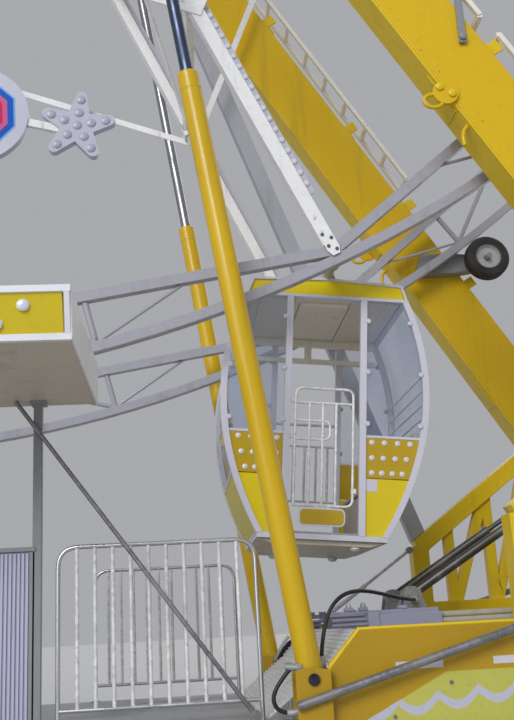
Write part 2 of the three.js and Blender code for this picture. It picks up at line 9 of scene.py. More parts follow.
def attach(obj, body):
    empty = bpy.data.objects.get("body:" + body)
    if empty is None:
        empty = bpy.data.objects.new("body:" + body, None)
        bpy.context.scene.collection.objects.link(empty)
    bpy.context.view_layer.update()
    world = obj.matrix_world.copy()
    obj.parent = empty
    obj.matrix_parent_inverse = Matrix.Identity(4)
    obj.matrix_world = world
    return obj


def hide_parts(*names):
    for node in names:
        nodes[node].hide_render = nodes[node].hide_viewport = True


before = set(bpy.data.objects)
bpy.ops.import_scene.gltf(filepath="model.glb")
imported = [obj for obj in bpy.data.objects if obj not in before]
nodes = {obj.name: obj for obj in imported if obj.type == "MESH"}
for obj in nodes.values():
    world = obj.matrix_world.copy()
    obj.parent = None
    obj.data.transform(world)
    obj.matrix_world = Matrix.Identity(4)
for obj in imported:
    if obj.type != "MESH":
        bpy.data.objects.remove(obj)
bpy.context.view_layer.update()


# The camera stands at eye height on the boarding side, a little right of the hub, and looks
# up past the lowest cabin. It is turned and tipped as the photographer held it.
EYE = Vector((3.069, -7.545, 1.682))
YAW, PITCH, ROLL = 0.0889, 0.2691, -0.0549
FOCAL_PIXELS, FRAME_PIXELS, SENSOR = 954.59, 720, 36.0

ahead = Vector((math.sin(YAW) * math.cos(PITCH), math.cos(YAW) * math.cos(PITCH), math.sin(PITCH)))
level_right = Vector((math.cos(YAW), -math.sin(YAW), 0))
level_up = level_right.cross(ahead)
right = level_right * math.cos(ROLL) + level_up * math.sin(ROLL)
up = level_up * math.cos(ROLL) - level_right * math.sin(ROLL)
lens = bpy.data.cameras.new("eye")
lens.sensor_fit = "VERTICAL"
lens.sensor_width = lens.sensor_height = SENSOR
lens.lens = FOCAL_PIXELS / FRAME_PIXELS * SENSOR
lens.clip_end = 500
camera = bpy.data.objects.new("eye", lens)
bpy.context.scene.collection.objects.link(camera)
camera.matrix_world = Matrix.Translation(EYE) @ Matrix((right, up, -ahead)).transposed().to_4x4()
bpy.context.scene.camera = camera


# Hydraulic hoses: black rubber over steel braid, crimped into swivel ends. One arches from beside
# the ramp to the folding ram, and one loops beside the foot of the near lift cylinder.
HOSE_BORE = 0.026
HOSE_STEPS = 5  # points of a hose's line from each given point to the next
HOSE_BLACK = (0.012, 0.012, 0.014, 1)


class Wire:
    """A shader socket on which Python's operators add Math nodes."""

    def __init__(self, finish, socket):
        self.finish = finish
        self.socket = socket

    def maths(self, operation, first, second=0.0):
        return self.finish.node("Math", {"operation": operation}, {0: first, 1: second})

    def __add__(self, other):
        return self.maths("ADD", self, other)

    __radd__ = __add__

    def __sub__(self, other):
        return self.maths("SUBTRACT", self, other)

    def __rsub__(self, other):
        return self.maths("SUBTRACT", other, self)

    def __mul__(self, other):
        return self.maths("MULTIPLY", self, other)

    __rmul__ = __mul__

    def __abs__(self):
        return self.maths("ABSOLUTE", self)

    def above(self, low, high):
        """0 up to low, 1 from high, and a soft step between them."""
        settings = {"interpolation_type": "SMOOTHSTEP"}
        return self.finish.node("MapRange", settings, {"Value": self, "From Min": low, "From Max": high})

    def below(self, low, high):
        return 1 - self.above(low, high)


class Finish:
    """A material under way. One method adds any node and returns the wire that leaves it."""

    def __init__(self, name, **plain):
        self.material = bpy.data.materials.new(name)
        self.material.use_nodes = True
        self.tree = self.material.node_tree
        self.shader = self.tree.nodes["Principled BSDF"]
        self.place = self.node("TexCoord", output="Object")
        for socket, value in plain.items():
            self.shader.inputs[socket.replace("_", " ")].default_value = value

    def node(self, kind, settings=None, inputs=None, output=0):
        made = self.tree.nodes.new("ShaderNode" + kind)
        for key, value in (settings or {}).items():
            setattr(made, key, value)
        for key, value in (inputs or {}).items():
            if isinstance(value, Wire):
                self.tree.links.new(value.socket, made.inputs[key])
            else:
                made.inputs[key].default_value = value
        return Wire(self, made.outputs[output])

    def stretched(self, scale):
        """Object coordinates, drawn out along an axis by a small number."""
        return self.node("Mapping", inputs={"Vector": self.place, "Scale": scale})

    def axis(self, letter):
        return self.node("SeparateXYZ", inputs={0: self.place}, output=letter)

    def noise(self, scale, detail=3.0, place=None, rough=0.55):
        values = {"Vector": place or self.place, "Scale": scale, "Detail": detail, "Roughness": rough}
        return self.node("TexNoise", inputs=values)

    def mixed(self, factor, first, second):
        """Two colours, or wires of colour, mixed by a wire."""
        return self.node("Mix", {"data_type": "RGBA"}, {0: factor, 6: first, 7: second}, output=2)

    def shaded(self, colour, amount, wire):
        """A plain colour that darkens and lightens by the share amount as wire goes from 0 to 1."""
        dark = tuple(c * (1 - amount) for c in colour[:3]) + (1,)
        light = tuple(min(c * (1 + amount), 1) for c in colour[:3]) + (1,)
        return self.mixed(wire, dark, light)

    def bumped(self, height, distance, strength):
        values = {"Height": height, "Distance": distance, "Strength": strength}
        self.drive("Normal", self.node("Bump", inputs=values))

    def drive(self, socket, wire):
        self.tree.links.new(wire.socket, self.shader.inputs[socket])


def hose_rubber():
    finish = Finish("hose_rubber", Metallic=0.0)
    dust = finish.noise(9.0).above(0.45, 0.75)
    braid = finish.noise(260.0, 1.0)
    finish.drive("Base Color", finish.mixed(dust * 0.5, HOSE_BLACK, (0.05, 0.048, 0.045, 1)))
    finish.drive("Roughness", 0.42 + dust * 0.25)
    finish.bumped(braid, 0.001, 0.4)
    return finish.material


def through(points):
    """A smooth line of points through the given ones."""
    line = [Vector(p) for p in points]
    ends = [line[0] * 2 - line[1], *line, line[-1] * 2 - line[-2]]
    curve = []
    for a, b, c, d in zip(ends, ends[1:], ends[2:], ends[3:]):
        for i in range(HOSE_STEPS):
            t = i / HOSE_STEPS
            curve.append(0.5 * (2 * b + (c - a) * t + (2 * a - 5 * b + 4 * c - d) * t * t
                                + (3 * b - a - 3 * c + d) * t ** 3))
    return curve + [line[-1]]


HOSE_ROUTES = {
    "ramp_hose": [(3.931, -1.295, 1.4003), (3.931, -1.295, 1.45), (3.94, -1.298, 1.53), (3.962, -1.298, 1.63),
                  (3.998, -1.29, 1.725), (4.05, -1.27, 1.792), (4.118, -1.235, 1.835), (4.2, -1.18, 1.853),
                  (4.3, -1.095, 1.85), (4.405, -0.99, 1.834), (4.51, -0.865, 1.815), (4.605, -0.735, 1.8),
                  (4.685, -0.615, 1.793), (4.735, -0.53, 1.792), (4.755, -0.47, 1.792),
                  (4.755, -0.4153, 1.792)],
    "foot_hose": [(3.7417, -1.46, 1.412), (3.722, -1.46, 1.412), (3.69, -1.46, 1.385), (3.655, -1.46, 1.345),
                  (3.622, -1.46, 1.3), (3.602, -1.46, 1.255), (3.602, -1.46, 1.215), (3.622, -1.46, 1.18),
                  (3.658, -1.46, 1.16), (3.7, -1.46, 1.155), (3.7397, -1.46, 1.155)],
}
rubber = hose_rubber()
for hose_name, stops in HOSE_ROUTES.items():
    route = through(stops)
    run = bpy.data.curves.new(hose_name, "CURVE")
    run.dimensions = "3D"
    run.bevel_depth = HOSE_BORE / 2
    run.bevel_resolution = 4
    run.use_fill_caps = True
    spline = run.splines.new("POLY")
    spline.points.add(len(route) - 1)
    for point, spot in zip(spline.points, route):
        point.co = (*spot, 1)
    run.materials.append(rubber)
    hose = bpy.data.objects.new(f"{hose_name}_rubber", run)
    bpy.context.scene.collection.objects.link(hose)
    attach(hose, "trailer")
    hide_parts(hose_name)
    sum((b - a).length for a, b in zip(route, route[1:]))


# Trailer chassis: two welded box beams with cross members, on outriggers whose feet are screwed
# down onto square pads. Everything here is sprayed in the same gloss yellow as the masts.
YELLOW = (0.72, 0.47, 0.008, 1)
GRIME = (0.10, 0.075, 0.04, 1)
EDGE_ROUND = 0.006


def enamel(name, colour, shine=0.36, grime=0.35, coat=0.12):
    """Sprayed enamel: slight orange peel, soft colour changes, rain streaks, dust and a few chips."""
    finish = Finish(name, Metallic=0.0, Coat_Roughness=0.12, IOR=1.36)
    patches = finish.noise(0.9, 4.0)
    runs = finish.noise(1.0, 5.0, finish.stretched((7.0, 7.0, 0.5)), 0.65).above(0.52, 0.78)
    specks = finish.noise(26.0, 4.0)
    chips = specks.above(0.69, 0.72) * finish.noise(2.2).above(0.55, 0.65)
    dirt = (runs * 0.6 + specks.above(0.5, 0.8) * 0.25) * grime
    painted = finish.mixed(dirt, finish.shaded(colour, 0.1, patches), GRIME)
    finish.drive("Base Color", finish.mixed(chips * 0.8, painted, (0.16, 0.13, 0.1, 1)))
    finish.drive("Roughness", shine + dirt * 0.5 + patches * 0.08)
    finish.drive("Coat Weight", coat - dirt * coat)
    finish.bumped(finish.noise(190.0, 2.0) + chips * -3.0, 0.0006, 0.25)
    return finish.material


def round_edges(made, width, angle=35):
    """Rounds the edges of an object that are sharper than an angle."""
    bevel = made.modifiers.new("Rounded", "BEVEL")
    bevel.width = width
    bevel.segments = 2
    bevel.limit_method = "ANGLE"
    bevel.angle_limit = math.radians(angle)
    bevel.harden_normals = True


def dress(names, material, rounding=EDGE_ROUND):
    """Gives CAD nodes their finish, with their edges rounded as folded or welded steel is."""
    for name in names:
        node = nodes[name]
        node.data.materials.clear()
        node.data.materials.append(material)
        weld = node.modifiers.new("Joined", "WELD")
        weld.merge_threshold = 0.0001
        round_edges(node, rounding)


yellow = enamel("gloss_yellow", YELLOW)
# A lighter yellow for the base frames, hub and small parts. On the mast flanges it is painted light.
BRIGHT_YELLOW = (0.76, 0.54, 0.012, 1)
bright_yellow = enamel("lighter_yellow_with_painted_light_on_flanges", BRIGHT_YELLOW, 0.34, 0.4)
dress(["chassis"], yellow)


def turns(count):
    """Angles in equal steps, once round."""
    return [2 * math.pi * k / count for k in range(count)]


class Form:
    """The points and faces of one piece while it is cut and put together, in metres."""

    def __init__(self):
        self.points = []
        self.faces = []

    def add(self, points, faces):
        start = len(self.points)
        self.points += [Vector(p) for p in points]
        self.faces += [[start + i for i in face] for face in faces]
        return self

    def join(self, other):
        return self.add(other.points, other.faces)

    def block(self, x, y, z):
        """A box between two values on each axis."""
        corners = [(x[i], y[j], z[k]) for i in (0, 1) for j in (0, 1) for k in (0, 1)]
        faces = [(0, 1, 3, 2), (4, 6, 7, 5), (0, 4, 5, 1), (2, 3, 7, 6), (0, 2, 6, 4), (1, 5, 7, 3)]
        return self.add(corners, faces)

    def plate(self, outline, y):
        """An outline of (x, z) points, given a thickness between two values of y."""
        return self.skin([[(px, side, pz) for px, pz in outline] for side in y])

    def across(self, outline, x):
        """An outline of (y, z) points, drawn out between two values of x."""
        return self.skin([[(side, py, pz) for py, pz in outline] for side in x])

    def skin(self, rows, ring=False):
        """Rows of points round a section, joined in turn: with both ends filled, or end to end as a ring."""
        n, count = len(rows[0]), len(rows)
        faces = [(r * n + i, r * n + (i + 1) % n, (r + 1) % count * n + (i + 1) % n, (r + 1) % count * n + i)
                 for r in range(count if ring else count - 1) for i in range(n)]
        if not ring:
            faces += [tuple(range(n))[::-1], tuple(range((count - 1) * n, count * n))]
        return self.add([p for row in rows for p in row], faces)

    def tube(self, path, radius, sides, closed=False):
        """A round tube along points, mitred at each of them."""
        path = [Vector(p) for p in path]
        count = len(path)
        ways = []
        for i in range(count):
            before = path[i] - path[i - 1] if i or closed else path[1] - path[0]
            after = path[(i + 1) % count] - path[i] if i < count - 1 or closed else path[-1] - path[-2]
            ways.append((before.normalized() + after.normalized()).normalized())
        lean = ways[0].orthogonal().normalized()
        rows = []
        for spot, way in zip(path, ways):
            lean = (lean - way * lean.dot(way)).normalized()
            other = way.cross(lean)
            rows.append([spot + (lean * math.cos(t) + other * math.sin(t)) * radius for t in turns(sides)])
        return self.skin(rows, closed)

    def turned(self, profile, centre, axis, sides):
        """A (radius, height) profile turned on an axis: solid, or a ring if it starts off the axis."""
        place = {"Y": lambda r, h, t: (r * math.sin(t), h, r * math.cos(t)),
                 "Z": lambda r, h, t: (r * math.cos(t), r * math.sin(t), h)}[axis]
        rows = [[Vector(centre) + Vector(place(r, h, t)) for t in turns(sides)] for r, h in profile]
        return self.skin(rows, ring=profile[0][0] > 0)

    def pin(self, radius, span, centre, axis="Y", sides=24, bore=0):
        """A round bar between two heights on an axis, or a sleeve if it has a bore."""
        low, high = span
        return self.turned([(bore, low), (radius, low), (radius, high), (bore, high)], centre, axis, sides)

    def bolt(self, spot, head, crown, out=1, axis="Y", sides=6):
        """A bolt head, from the (radius, height) of its edge and of its crown, facing along out."""
        rise, top = head[1] * out, crown[1] * out
        profile = [(0, 0), (head[0], 0), (head[0], rise), (crown[0], top), (0, top)]
        return self.turned(profile, spot, axis, sides)

    def bolt_circle(self, centre, radius, count, head, crown, out):
        for t in turns(count):
            spot = Vector(centre) + Vector((radius * math.cos(t), 0, radius * math.sin(t)))
            self.bolt(spot, head, crown, out)
        return self

    def bar(self, start, end, width, depth, out=(0, 1, 0)):
        """A flat sided bar between two points: width across, depth along the way called out."""
        start, end, out = Vector(start), Vector(end), Vector(out).normalized()
        side = (end - start).cross(out).normalized() * width / 2
        deep = (end - start).cross(side).normalized() * depth / 2
        return self.skin([[p + side + deep, p - side + deep, p - side - deep, p + side - deep]
                          for p in (start, end)])

    def moved(self, x, y=0.0, z=0.0):
        return Form().add([p + Vector((x, y, z)) for p in self.points], self.faces)

    def leaned(self, angle):
        """The same shape turned about the Y axis, with its bottom going to -X."""
        turn = Matrix.Rotation(angle, 3, "Y")
        return Form().add([turn @ p for p in self.points], self.faces)


def piece(name, form, material, body, slot, rounding=0.0, smooth=35):
    """Makes a form into a finished piece that rides on a body."""
    mesh = bpy.data.meshes.new(name)
    mesh.from_pydata([tuple(p) for p in form.points], [], form.faces)
    shell = bmesh.new()
    shell.from_mesh(mesh)
    bmesh.ops.recalc_face_normals(shell, faces=shell.faces)
    shell.to_mesh(mesh)
    shell.free()
    mesh.shade_smooth()
    mesh.set_sharp_from_angle(angle=math.radians(smooth))
    mesh.materials.append(material)
    made = bpy.data.objects.new(name, mesh)
    bpy.context.scene.collection.objects.link(made)
    if rounding:
        round_edges(made, rounding, smooth)
    if body:
        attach(made, body)
    return made


PAD_X, PAD_Y, PAD_TOP = (-5.9, 8.1), 3.25, 0.06
jacks = Form()
for jack_x in PAD_X:
    for jack_y in (-PAD_Y, PAD_Y):
        jacks.turned([(0, 0), (0.13, 0), (0.13, 0.015), (0.06, 0.04), (0.055, 0.24), (0, 0.24)],
                     (jack_x, jack_y, PAD_TOP), "Z", 24)
        for bolt_x in (jack_x - 0.24, jack_x + 0.24):
            for bolt_y in (jack_y - 0.24, jack_y + 0.24):
                jacks.bolt((bolt_x, bolt_y, PAD_TOP), (0.022, 0.018), (0.012, 0.024), axis="Z")
        jacks.pin(0.03, (0.081, 0.11), (jack_x, jack_y, 0.86), sides=16)


def galvanised(name, colour=(0.47, 0.49, 0.52, 1), metal=0.75, shine=0.38):
    """Hot dip zinc: overlapping spangles, dull patches and dust."""
    finish = Finish(name)
    flakes = finish.node("TexVoronoi", {}, {"Vector": finish.place, "Scale": 38.0}, output="Color")
    tone = finish.node("SeparateColor", inputs={0: flakes}, output=0)
    dull = finish.noise(1.7, 5.0).above(0.42, 0.7)
    spangled = finish.shaded(colour, 0.16, tone)
    finish.drive("Base Color", finish.mixed(dull * 0.45, spangled, (0.36, 0.35, 0.33, 1)))
    finish.drive("Metallic", metal - dull * 0.3)
    finish.drive("Roughness", shine + tone * 0.12 + dull * 0.2)
    finish.bumped(tone, 0.0004, 0.3)
    return finish.material


zinc = galvanised("galvanised_zinc")
dark_zinc = galvanised("dark_zinc", (0.13, 0.13, 0.15, 1), 0.6, 0.45)
piece("jack_screws", jacks, zinc, "trailer", "galvanised_steel")


# Axles: two beam axles on hangers below the chassis, with air filled tyres on pressed steel
# wheels. The tyres are dusty black rubber, the wheels silver with a ring of wheel nuts.
AXLE_X = (5.3, 6.5)
AXLE_Z, HANGER_Z = 0.425, 0.395
WHEEL_Y, HANGER_Y = 1.17, 0.65
TYRE_BLACK = (0.017, 0.017, 0.018, 1)
SILVER = (0.5, 0.51, 0.53, 1)


def rubber_tyre(name):
    finish = Finish(name, Metallic=0.0)
    dust = finish.noise(6.0, 5.0).above(0.4, 0.72)
    finish.drive("Base Color", finish.mixed(dust * 0.55, TYRE_BLACK, (0.085, 0.077, 0.066, 1)))
    finish.drive("Roughness", 0.62 + dust * 0.25)
    finish.bumped(finish.noise(120.0, 3.0), 0.0008, 0.5)
    return finish.material


def new_tree(name, sockets):
    """An empty node tree with its named inputs: the ways to add and link nodes, and its first node."""
    tree = bpy.data.node_groups.new(name, "GeometryNodeTree")
    for label, kind in (("Geometry", "Geometry"), *sockets, ("Finish", "Material")):
        tree.interface.new_socket(label, in_out="INPUT", socket_type="NodeSocket" + kind)
    tree.interface.new_socket("Geometry", in_out="OUTPUT", socket_type="NodeSocketGeometry")
    return tree, tree.nodes.new, tree.links.new, tree.nodes.new("NodeGroupInput")


def end_tree(add, link, given, spread):
    """Makes the instances real, gives them their finish and sends them out."""
    real, finish = add("GeometryNodeRealizeInstances"), add("GeometryNodeSetMaterial")
    made = add("NodeGroupOutput")
    link(spread.outputs[0], real.inputs[0])
    link(real.outputs[0], finish.inputs["Geometry"])
    link(given.outputs["Finish"], finish.inputs["Material"])
    link(finish.outputs[0], made.inputs[0])


def rows_tree():
    """A node tree that sets a shape out in rows: so many along one step, and so many rows of them."""
    sockets = (("Along", "Int"), ("Step", "Vector"), ("Rows", "Int"), ("Row step", "Vector"))
    tree, add, link, given = new_tree("Set out in rows", sockets)
    lines = []
    for count, step in (("Along", "Step"), ("Rows", "Row step")):
        line = add("GeometryNodeMeshLine")
        link(given.outputs[count], line.inputs["Count"])
        link(given.outputs[step], line.inputs["Offset"])
        lines.append(line)
    grid, spread = add("GeometryNodeInstanceOnPoints"), add("GeometryNodeInstanceOnPoints")
    spots = add("GeometryNodeRealizeInstances")
    link(lines[1].outputs[0], grid.inputs["Points"])
    link(lines[0].outputs[0], grid.inputs["Instance"])
    link(grid.outputs[0], spots.inputs[0])
    link(spots.outputs[0], spread.inputs["Points"])
    link(given.outputs["Geometry"], spread.inputs["Instance"])
    end_tree(add, link, given, spread)
    return tree


def round_tree():
    """A node tree that repeats a shape round a line that runs along Y through a pivot."""
    sockets = (("Copies", "Int"), ("Pivot", "Vector"), ("First turn", "Float"), ("Turn", "Float"))
    tree, add, link, given = new_tree("Repeat round a pivot", sockets)
    points, spread = add("GeometryNodePoints"), add("GeometryNodeInstanceOnPoints")
    link(given.outputs["Copies"], points.inputs["Count"])
    link(given.outputs["Pivot"], points.inputs["Position"])
    back, home = add("ShaderNodeVectorMath"), add("GeometryNodeTransform")
    back.operation = "SCALE"
    back.inputs["Scale"].default_value = -1.0
    link(given.outputs["Pivot"], back.inputs[0])
    link(given.outputs["Geometry"], home.inputs["Geometry"])
    link(back.outputs[0], home.inputs["Translation"])
    place, turn, lean = add("GeometryNodeInputIndex"), add("ShaderNodeMath"), add("ShaderNodeCombineXYZ")
    turn.operation = "MULTIPLY_ADD"
    link(place.outputs[0], turn.inputs[0])
    link(given.outputs["Turn"], turn.inputs[1])
    link(given.outputs["First turn"], turn.inputs[2])
    link(turn.outputs[0], lean.inputs["Y"])
    link(points.outputs[0], spread.inputs["Points"])
    link(home.outputs[0], spread.inputs["Instance"])
    link(lean.outputs[0], spread.inputs["Rotation"])
    end_tree(add, link, given, spread)
    return tree


set_out, repeat_round = rows_tree(), round_tree()


def grown(name, form, tree, values, material, body, slot):
    """Runs a node tree on one shape, and keeps what it makes as a plain mesh that rides on a body."""
    made = piece(name, form, material, None, None)
    maker = made.modifiers.new("Maker", "NODES")
    maker.node_group = tree
    for item in tree.interface.items_tree:
        if item.in_out == "INPUT" and item.name in values:
            maker[item.identifier] = values[item.name]
        elif item.in_out == "INPUT" and item.name == "Finish":
            maker[item.identifier] = material
    bpy.context.view_layer.update()
    ready = made.evaluated_get(bpy.context.evaluated_depsgraph_get())
    mesh = bpy.data.meshes.new_from_object(ready)
    made.modifiers.remove(maker)
    made.data = mesh
    mesh.name = name
    if body:
        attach(made, body)
    return made


def in_rows(name, form, along, step, material, body, slot, rows=1, row_step=(0, 0, 0)):
    values = {"Along": along, "Step": [float(v) for v in step],
              "Rows": rows, "Row step": [float(v) for v in row_step]}
    return grown(name, form, set_out, values, material, body, slot)


def in_ring(name, form, copies, pivot, first, turn, material, body, slot):
    values = {"Copies": copies, "Pivot": [float(v) for v in pivot], "First turn": first, "Turn": turn}
    return grown(name, form, repeat_round, values, material, body, slot)


def both_walls(half):
    """A (radius, height) section given up to its middle, carried on to the other side wall."""
    return half + [(r, -h) for r, h in half[::-1]]


black_tyre = rubber_tyre("road_tyre_rubber")
silver = enamel("wheel_silver", SILVER, 0.35, 0.5, coat=0.15)
tyres, hubs = Form(), Form()
tyre_section = both_walls([(0.24, -0.14), (0.3, -0.155), (0.36, -0.15), (0.39, -0.125), (0.4, -0.1),
                           (0.4, -0.045), (0.39, -0.04), (0.39, -0.03), (0.4, -0.025)])
rim_section = [(0, 0.03), (0.07, 0.03), (0.09, 0.045), (0.18, 0.06), (0.22, 0.13), (0.25, 0.142),
               (0.25, -0.13), (0.2, -0.1), (0, -0.1)]
cap_section = [(0, 0.03), (0.062, 0.03), (0.058, 0.12), (0.04, 0.13), (0, 0.13)]
for axle_x in AXLE_X:
    hubs.tube([(axle_x, -1.1, AXLE_Z), (axle_x, 1.1, AXLE_Z)], 0.06, 16)
    for out in (-1, 1):
        wheel_at = Vector((axle_x, WHEEL_Y * out, AXLE_Z))
        tyres.turned(tyre_section, wheel_at, "Y", 48)
        hubs.turned([(r, h * out) for r, h in rim_section], wheel_at, "Y", 32)
        hubs.turned([(r, h * out) for r, h in cap_section], wheel_at, "Y", 20)
        hubs.bolt_circle(wheel_at + Vector((0, 0.05 * out, 0)), 0.12, 8, (0.016, 0.03), (0.008, 0.036), out)
hangers = Form()
for hanger_y in (-HANGER_Y, HANGER_Y):
    hanger = [(4.9, 0.6997), (4.98, HANGER_Z), (6.82, HANGER_Z), (6.9, 0.6997)]
    hangers.plate(hanger, (hanger_y - 0.06, hanger_y + 0.06))
    for axle_x in AXLE_X:
        for leaf in range(4):
            reach = 0.5 - leaf * 0.09
            z = HANGER_Z - 0.005 - leaf * 0.013
            leaf_y = (hanger_y - 0.035, hanger_y + 0.035)
            hangers.block((axle_x - reach, axle_x + reach), leaf_y, (z - 0.011, z))
tyre_piece = piece("road_tyres", tyres, black_tyre, "trailer", "tyre_rubber", smooth=30)
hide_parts("bogie")
piece("road_wheels", hubs, silver, "trailer", "wheel_silver", smooth=30)
piece("axle_springs", hangers, yellow, "trailer", "yellow_paint", 0.004)


# Machinery deck: a folded steel housing with a grey lid that carries painted bearers and two stacks
# of tubes. Its sides are closed by bolted yellow panels with a rolled lip.
GREY = (0.26, 0.27, 0.29, 1)
PANEL_YELLOW = (0.46, 0.28, 0.012, 1)
PANEL_GREEN = (0.50, 0.50, 0.10, 1)
SCALLOP = (0.52, 0.52, 0.72, 1)
LID_Z = 1.6105
HOUSING_FOOT, HOUSING_END = 1.0503, 8.6
PANEL_FACE = 1.43
SLANT = [(3.9503, 1.392), (4.157, 1.61)]


def panel_paint():
    """Golden enamel above a sloping line, and a yellow green field with pale scallops below it."""
    finish = Finish("side_panel_enamel", Metallic=0.0, Coat_Roughness=0.1, IOR=1.36)
    along, height = finish.axis("X"), finish.axis("Z")
    slope = height - (along * 0.486 - 0.942)
    level = height - 1.335
    below = slope.below(-0.004, 0.004) * level.below(-0.004, 0.004)
    arc = 1 - abs(along.maths("SINE", (along - 4.62) * 12.3))
    line = abs(height - (1.118 + arc * 0.075 + (along - 4.5) * 0.09))
    scallop = line.below(0.024, 0.03) * below
    lower = abs(height - (0.96 + arc * 0.06)).below(0.014, 0.02) * below
    patches = finish.noise(1.4, 4.0)
    specks = finish.noise(30.0, 4.0)
    gold, green = finish.shaded(PANEL_YELLOW, 0.16, patches), finish.shaded(PANEL_GREEN, 0.14, patches)
    lined = finish.mixed((scallop + lower * 0.7) * 0.85, finish.mixed(below, gold, green), SCALLOP)
    grime = specks.above(0.55, 0.75) * 0.15 + height.below(0.95, 1.12) * 0.2 * patches
    finish.drive("Base Color", finish.mixed(grime, lined, GRIME))
    finish.drive("Roughness", 0.26 + specks * 0.12 + grime)
    finish.drive("Coat Weight", 0.2 - grime * 0.3)
    finish.bumped(finish.noise(170.0, 2.0), 0.0006, 0.2)
    return finish.material


grey = enamel("grey_enamel", GREY, 0.42, 0.4, coat=0.1)
housing = Form()
outside = [(SLANT[0][0], HOUSING_FOOT), *SLANT, (HOUSING_END, 1.61), (HOUSING_END, HOUSING_FOOT)]
inside = [(8.57, HOUSING_FOOT), (8.57, 1.58), (4.17, 1.58), (3.98, 1.38), (3.98, HOUSING_FOOT)]
housing.plate(outside + inside, (-1.3995, 1.3995))
for wall_y in (-1.385, 1.385):
    housing.plate(outside, (wall_y - 0.015, wall_y + 0.015))
housing_piece = piece("machinery_housing", housing, grey, "trailer", "grey_paint", 0.008)
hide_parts("machinery_deck")
dress(["side_panel_front", "side_panel_back"], panel_paint(), 0.004)
lips, bolts, labels = Form(), Form(), Form()
lip_line = [(3.957, 0.95), (3.957, 1.395), (4.158, 1.617), (8.592, 1.617)]
bolt_spots = [(4.34, 1.09), (4.71, 1.27), (5.6, 1.27), (6.5, 1.27), (7.4, 1.27), (8.3, 1.27),
              (4.4, 0.99), (5.6, 0.99), (6.8, 0.99), (8.0, 0.99)]
corner_piece = [(3.953, 1.398), (4.158, 1.614), (4.158, 1.632), (3.953, 1.416)]
for out in (-1, 1):
    lips.tube([(x, (PANEL_FACE - 0.0077) * out, z) for x, z in lip_line], 0.012, 8)
    lips.plate(corner_piece, sorted((1.3905 * out, 1.4296 * out)))
    for bolt_x, bolt_z in bolt_spots:
        bolts.turned([(0, 0), (0.013, 0), (0.012, 0.006 * out), (0.005, 0.008 * out), (0, 0.008 * out)],
                     (bolt_x, (PANEL_FACE + 0.0003) * out, bolt_z), "Y", 12)
    for label_x, label_z, reach in ((4.37, 1.362, 0.3), (4.99, 1.364, 0.26), (6.4, 1.364, 0.3)):
        thickness = sorted(((PANEL_FACE + 0.0001) * out, (PANEL_FACE + 0.0018) * out))
        labels.block((label_x, label_x + reach), thickness, (label_z, label_z + 0.046))
label_white = enamel("label_white", (0.6, 0.6, 0.66, 1), 0.45, 0.2, coat=0.1)
piece("panel_lips", lips, bright_yellow, "trailer", "yellow_paint")
piece("panel_labels", labels, label_white, "trailer", "white_paint")
bearers, pipes = Form(), Form()
for bearer_y in (-0.99, 0.99):
    bearers.block((4.30, 4.80), (bearer_y - 0.05, bearer_y + 0.05), (LID_Z, 1.700))
    bearers.block((4.295, 4.372), (bearer_y - 0.062, bearer_y + 0.062), (LID_Z, 1.715))
    bearers.block((4.05, 4.805), (bearer_y + 0.055, bearer_y + 0.105), (1.695, 1.728))
    for block_x in (4.19, 4.29, 4.56):
        bearers.block((block_x - 0.03, block_x + 0.03), (bearer_y + 0.05, bearer_y + 0.11), (1.728, 1.752))
    for rod_z in (1.64, 1.672):
        bearers.tube([(4.06, bearer_y, rod_z), (4.30, bearer_y, rod_z)], 0.012, 12)
for cross_x in (4.5, 4.7):
    bearers.block((cross_x, cross_x + 0.06), (-0.94, 0.94), (LID_Z, 1.65))
for out in (-1, 1):
    for pipe_y, pipe_z in ((1.0, 1.636), (0.93, 1.636), (0.965, 1.676)):
        pipes.tube([(4.805, pipe_y * out, pipe_z), (7.5, pipe_y * out, pipe_z)], 0.022, 16)
pipe_beige = enamel("pipe_beige", (0.42, 0.39, 0.31, 1), 0.5, 0.4, coat=0.05)
bearer_paint = enamel("bearer_lavender", (0.30, 0.30, 0.40, 1), 0.42, 0.35, coat=0.1)
bearer_bolt = Form().bolt((4.19, -0.91, 1.752), (0.019, 0.018), (0.01, 0.03), axis="Z")
piece("deck_pipes", pipes, pipe_beige, "trailer", "beige_lining")
piece("deck_bearers", bearers, bearer_paint, "trailer", "grey_paint", 0.004)
in_rows("bearer_bolts", bearer_bolt, 2, (0.1, 0, 0), zinc, "trailer", "galvanised_steel")
piece("panel_bolts", bolts, dark_zinc, "trailer", "galvanised_steel")


# Housing on the machinery deck: a louvred steel cabinet with the pump and its tank, at the far
# end behind the masts, where such trailers carry them. It is closed and plain.
CABINET_X, CABINET_TOP = (7.55, 8.5), 2.65
cabinet = Form().block(CABINET_X, (-1.2, 1.2), (LID_Z, CABINET_TOP))
cabinet.block((7.52, 8.53), (-1.23, 1.23), (CABINET_TOP, CABINET_TOP + 0.04))
for frame_y in (-0.6, 0.6):
    for side_x, way in zip(CABINET_X, (-1, 1)):
        cabinet.block(sorted((side_x, side_x + 0.012 * way)), (frame_y - 0.52, frame_y + 0.52), (1.7, 2.58))
piece("pump_cabinet", cabinet, grey, "trailer", "grey_paint", 0.008)
louvre = Form().plate([(8.512, 1.85), (8.512, 1.89), (8.535, 1.862), (8.535, 1.852)], (-1.0, -0.2))
in_rows("cabinet_louvres", louvre, 12, (0, 0, 0.052), grey, "trailer", "grey_paint", 2, (0, 1.2, 0))
cabinet_handles = Form()
for handle_y in (-0.17, 0.17):
    handle = [(8.512, 2.05), (8.545, 2.05), (8.545, 2.2), (8.512, 2.2)]
    cabinet_handles.tube([(x, handle_y, z) for x, z in handle], 0.008, 8)
piece("cabinet_handles", cabinet_handles, zinc, "trailer", "galvanised_steel")


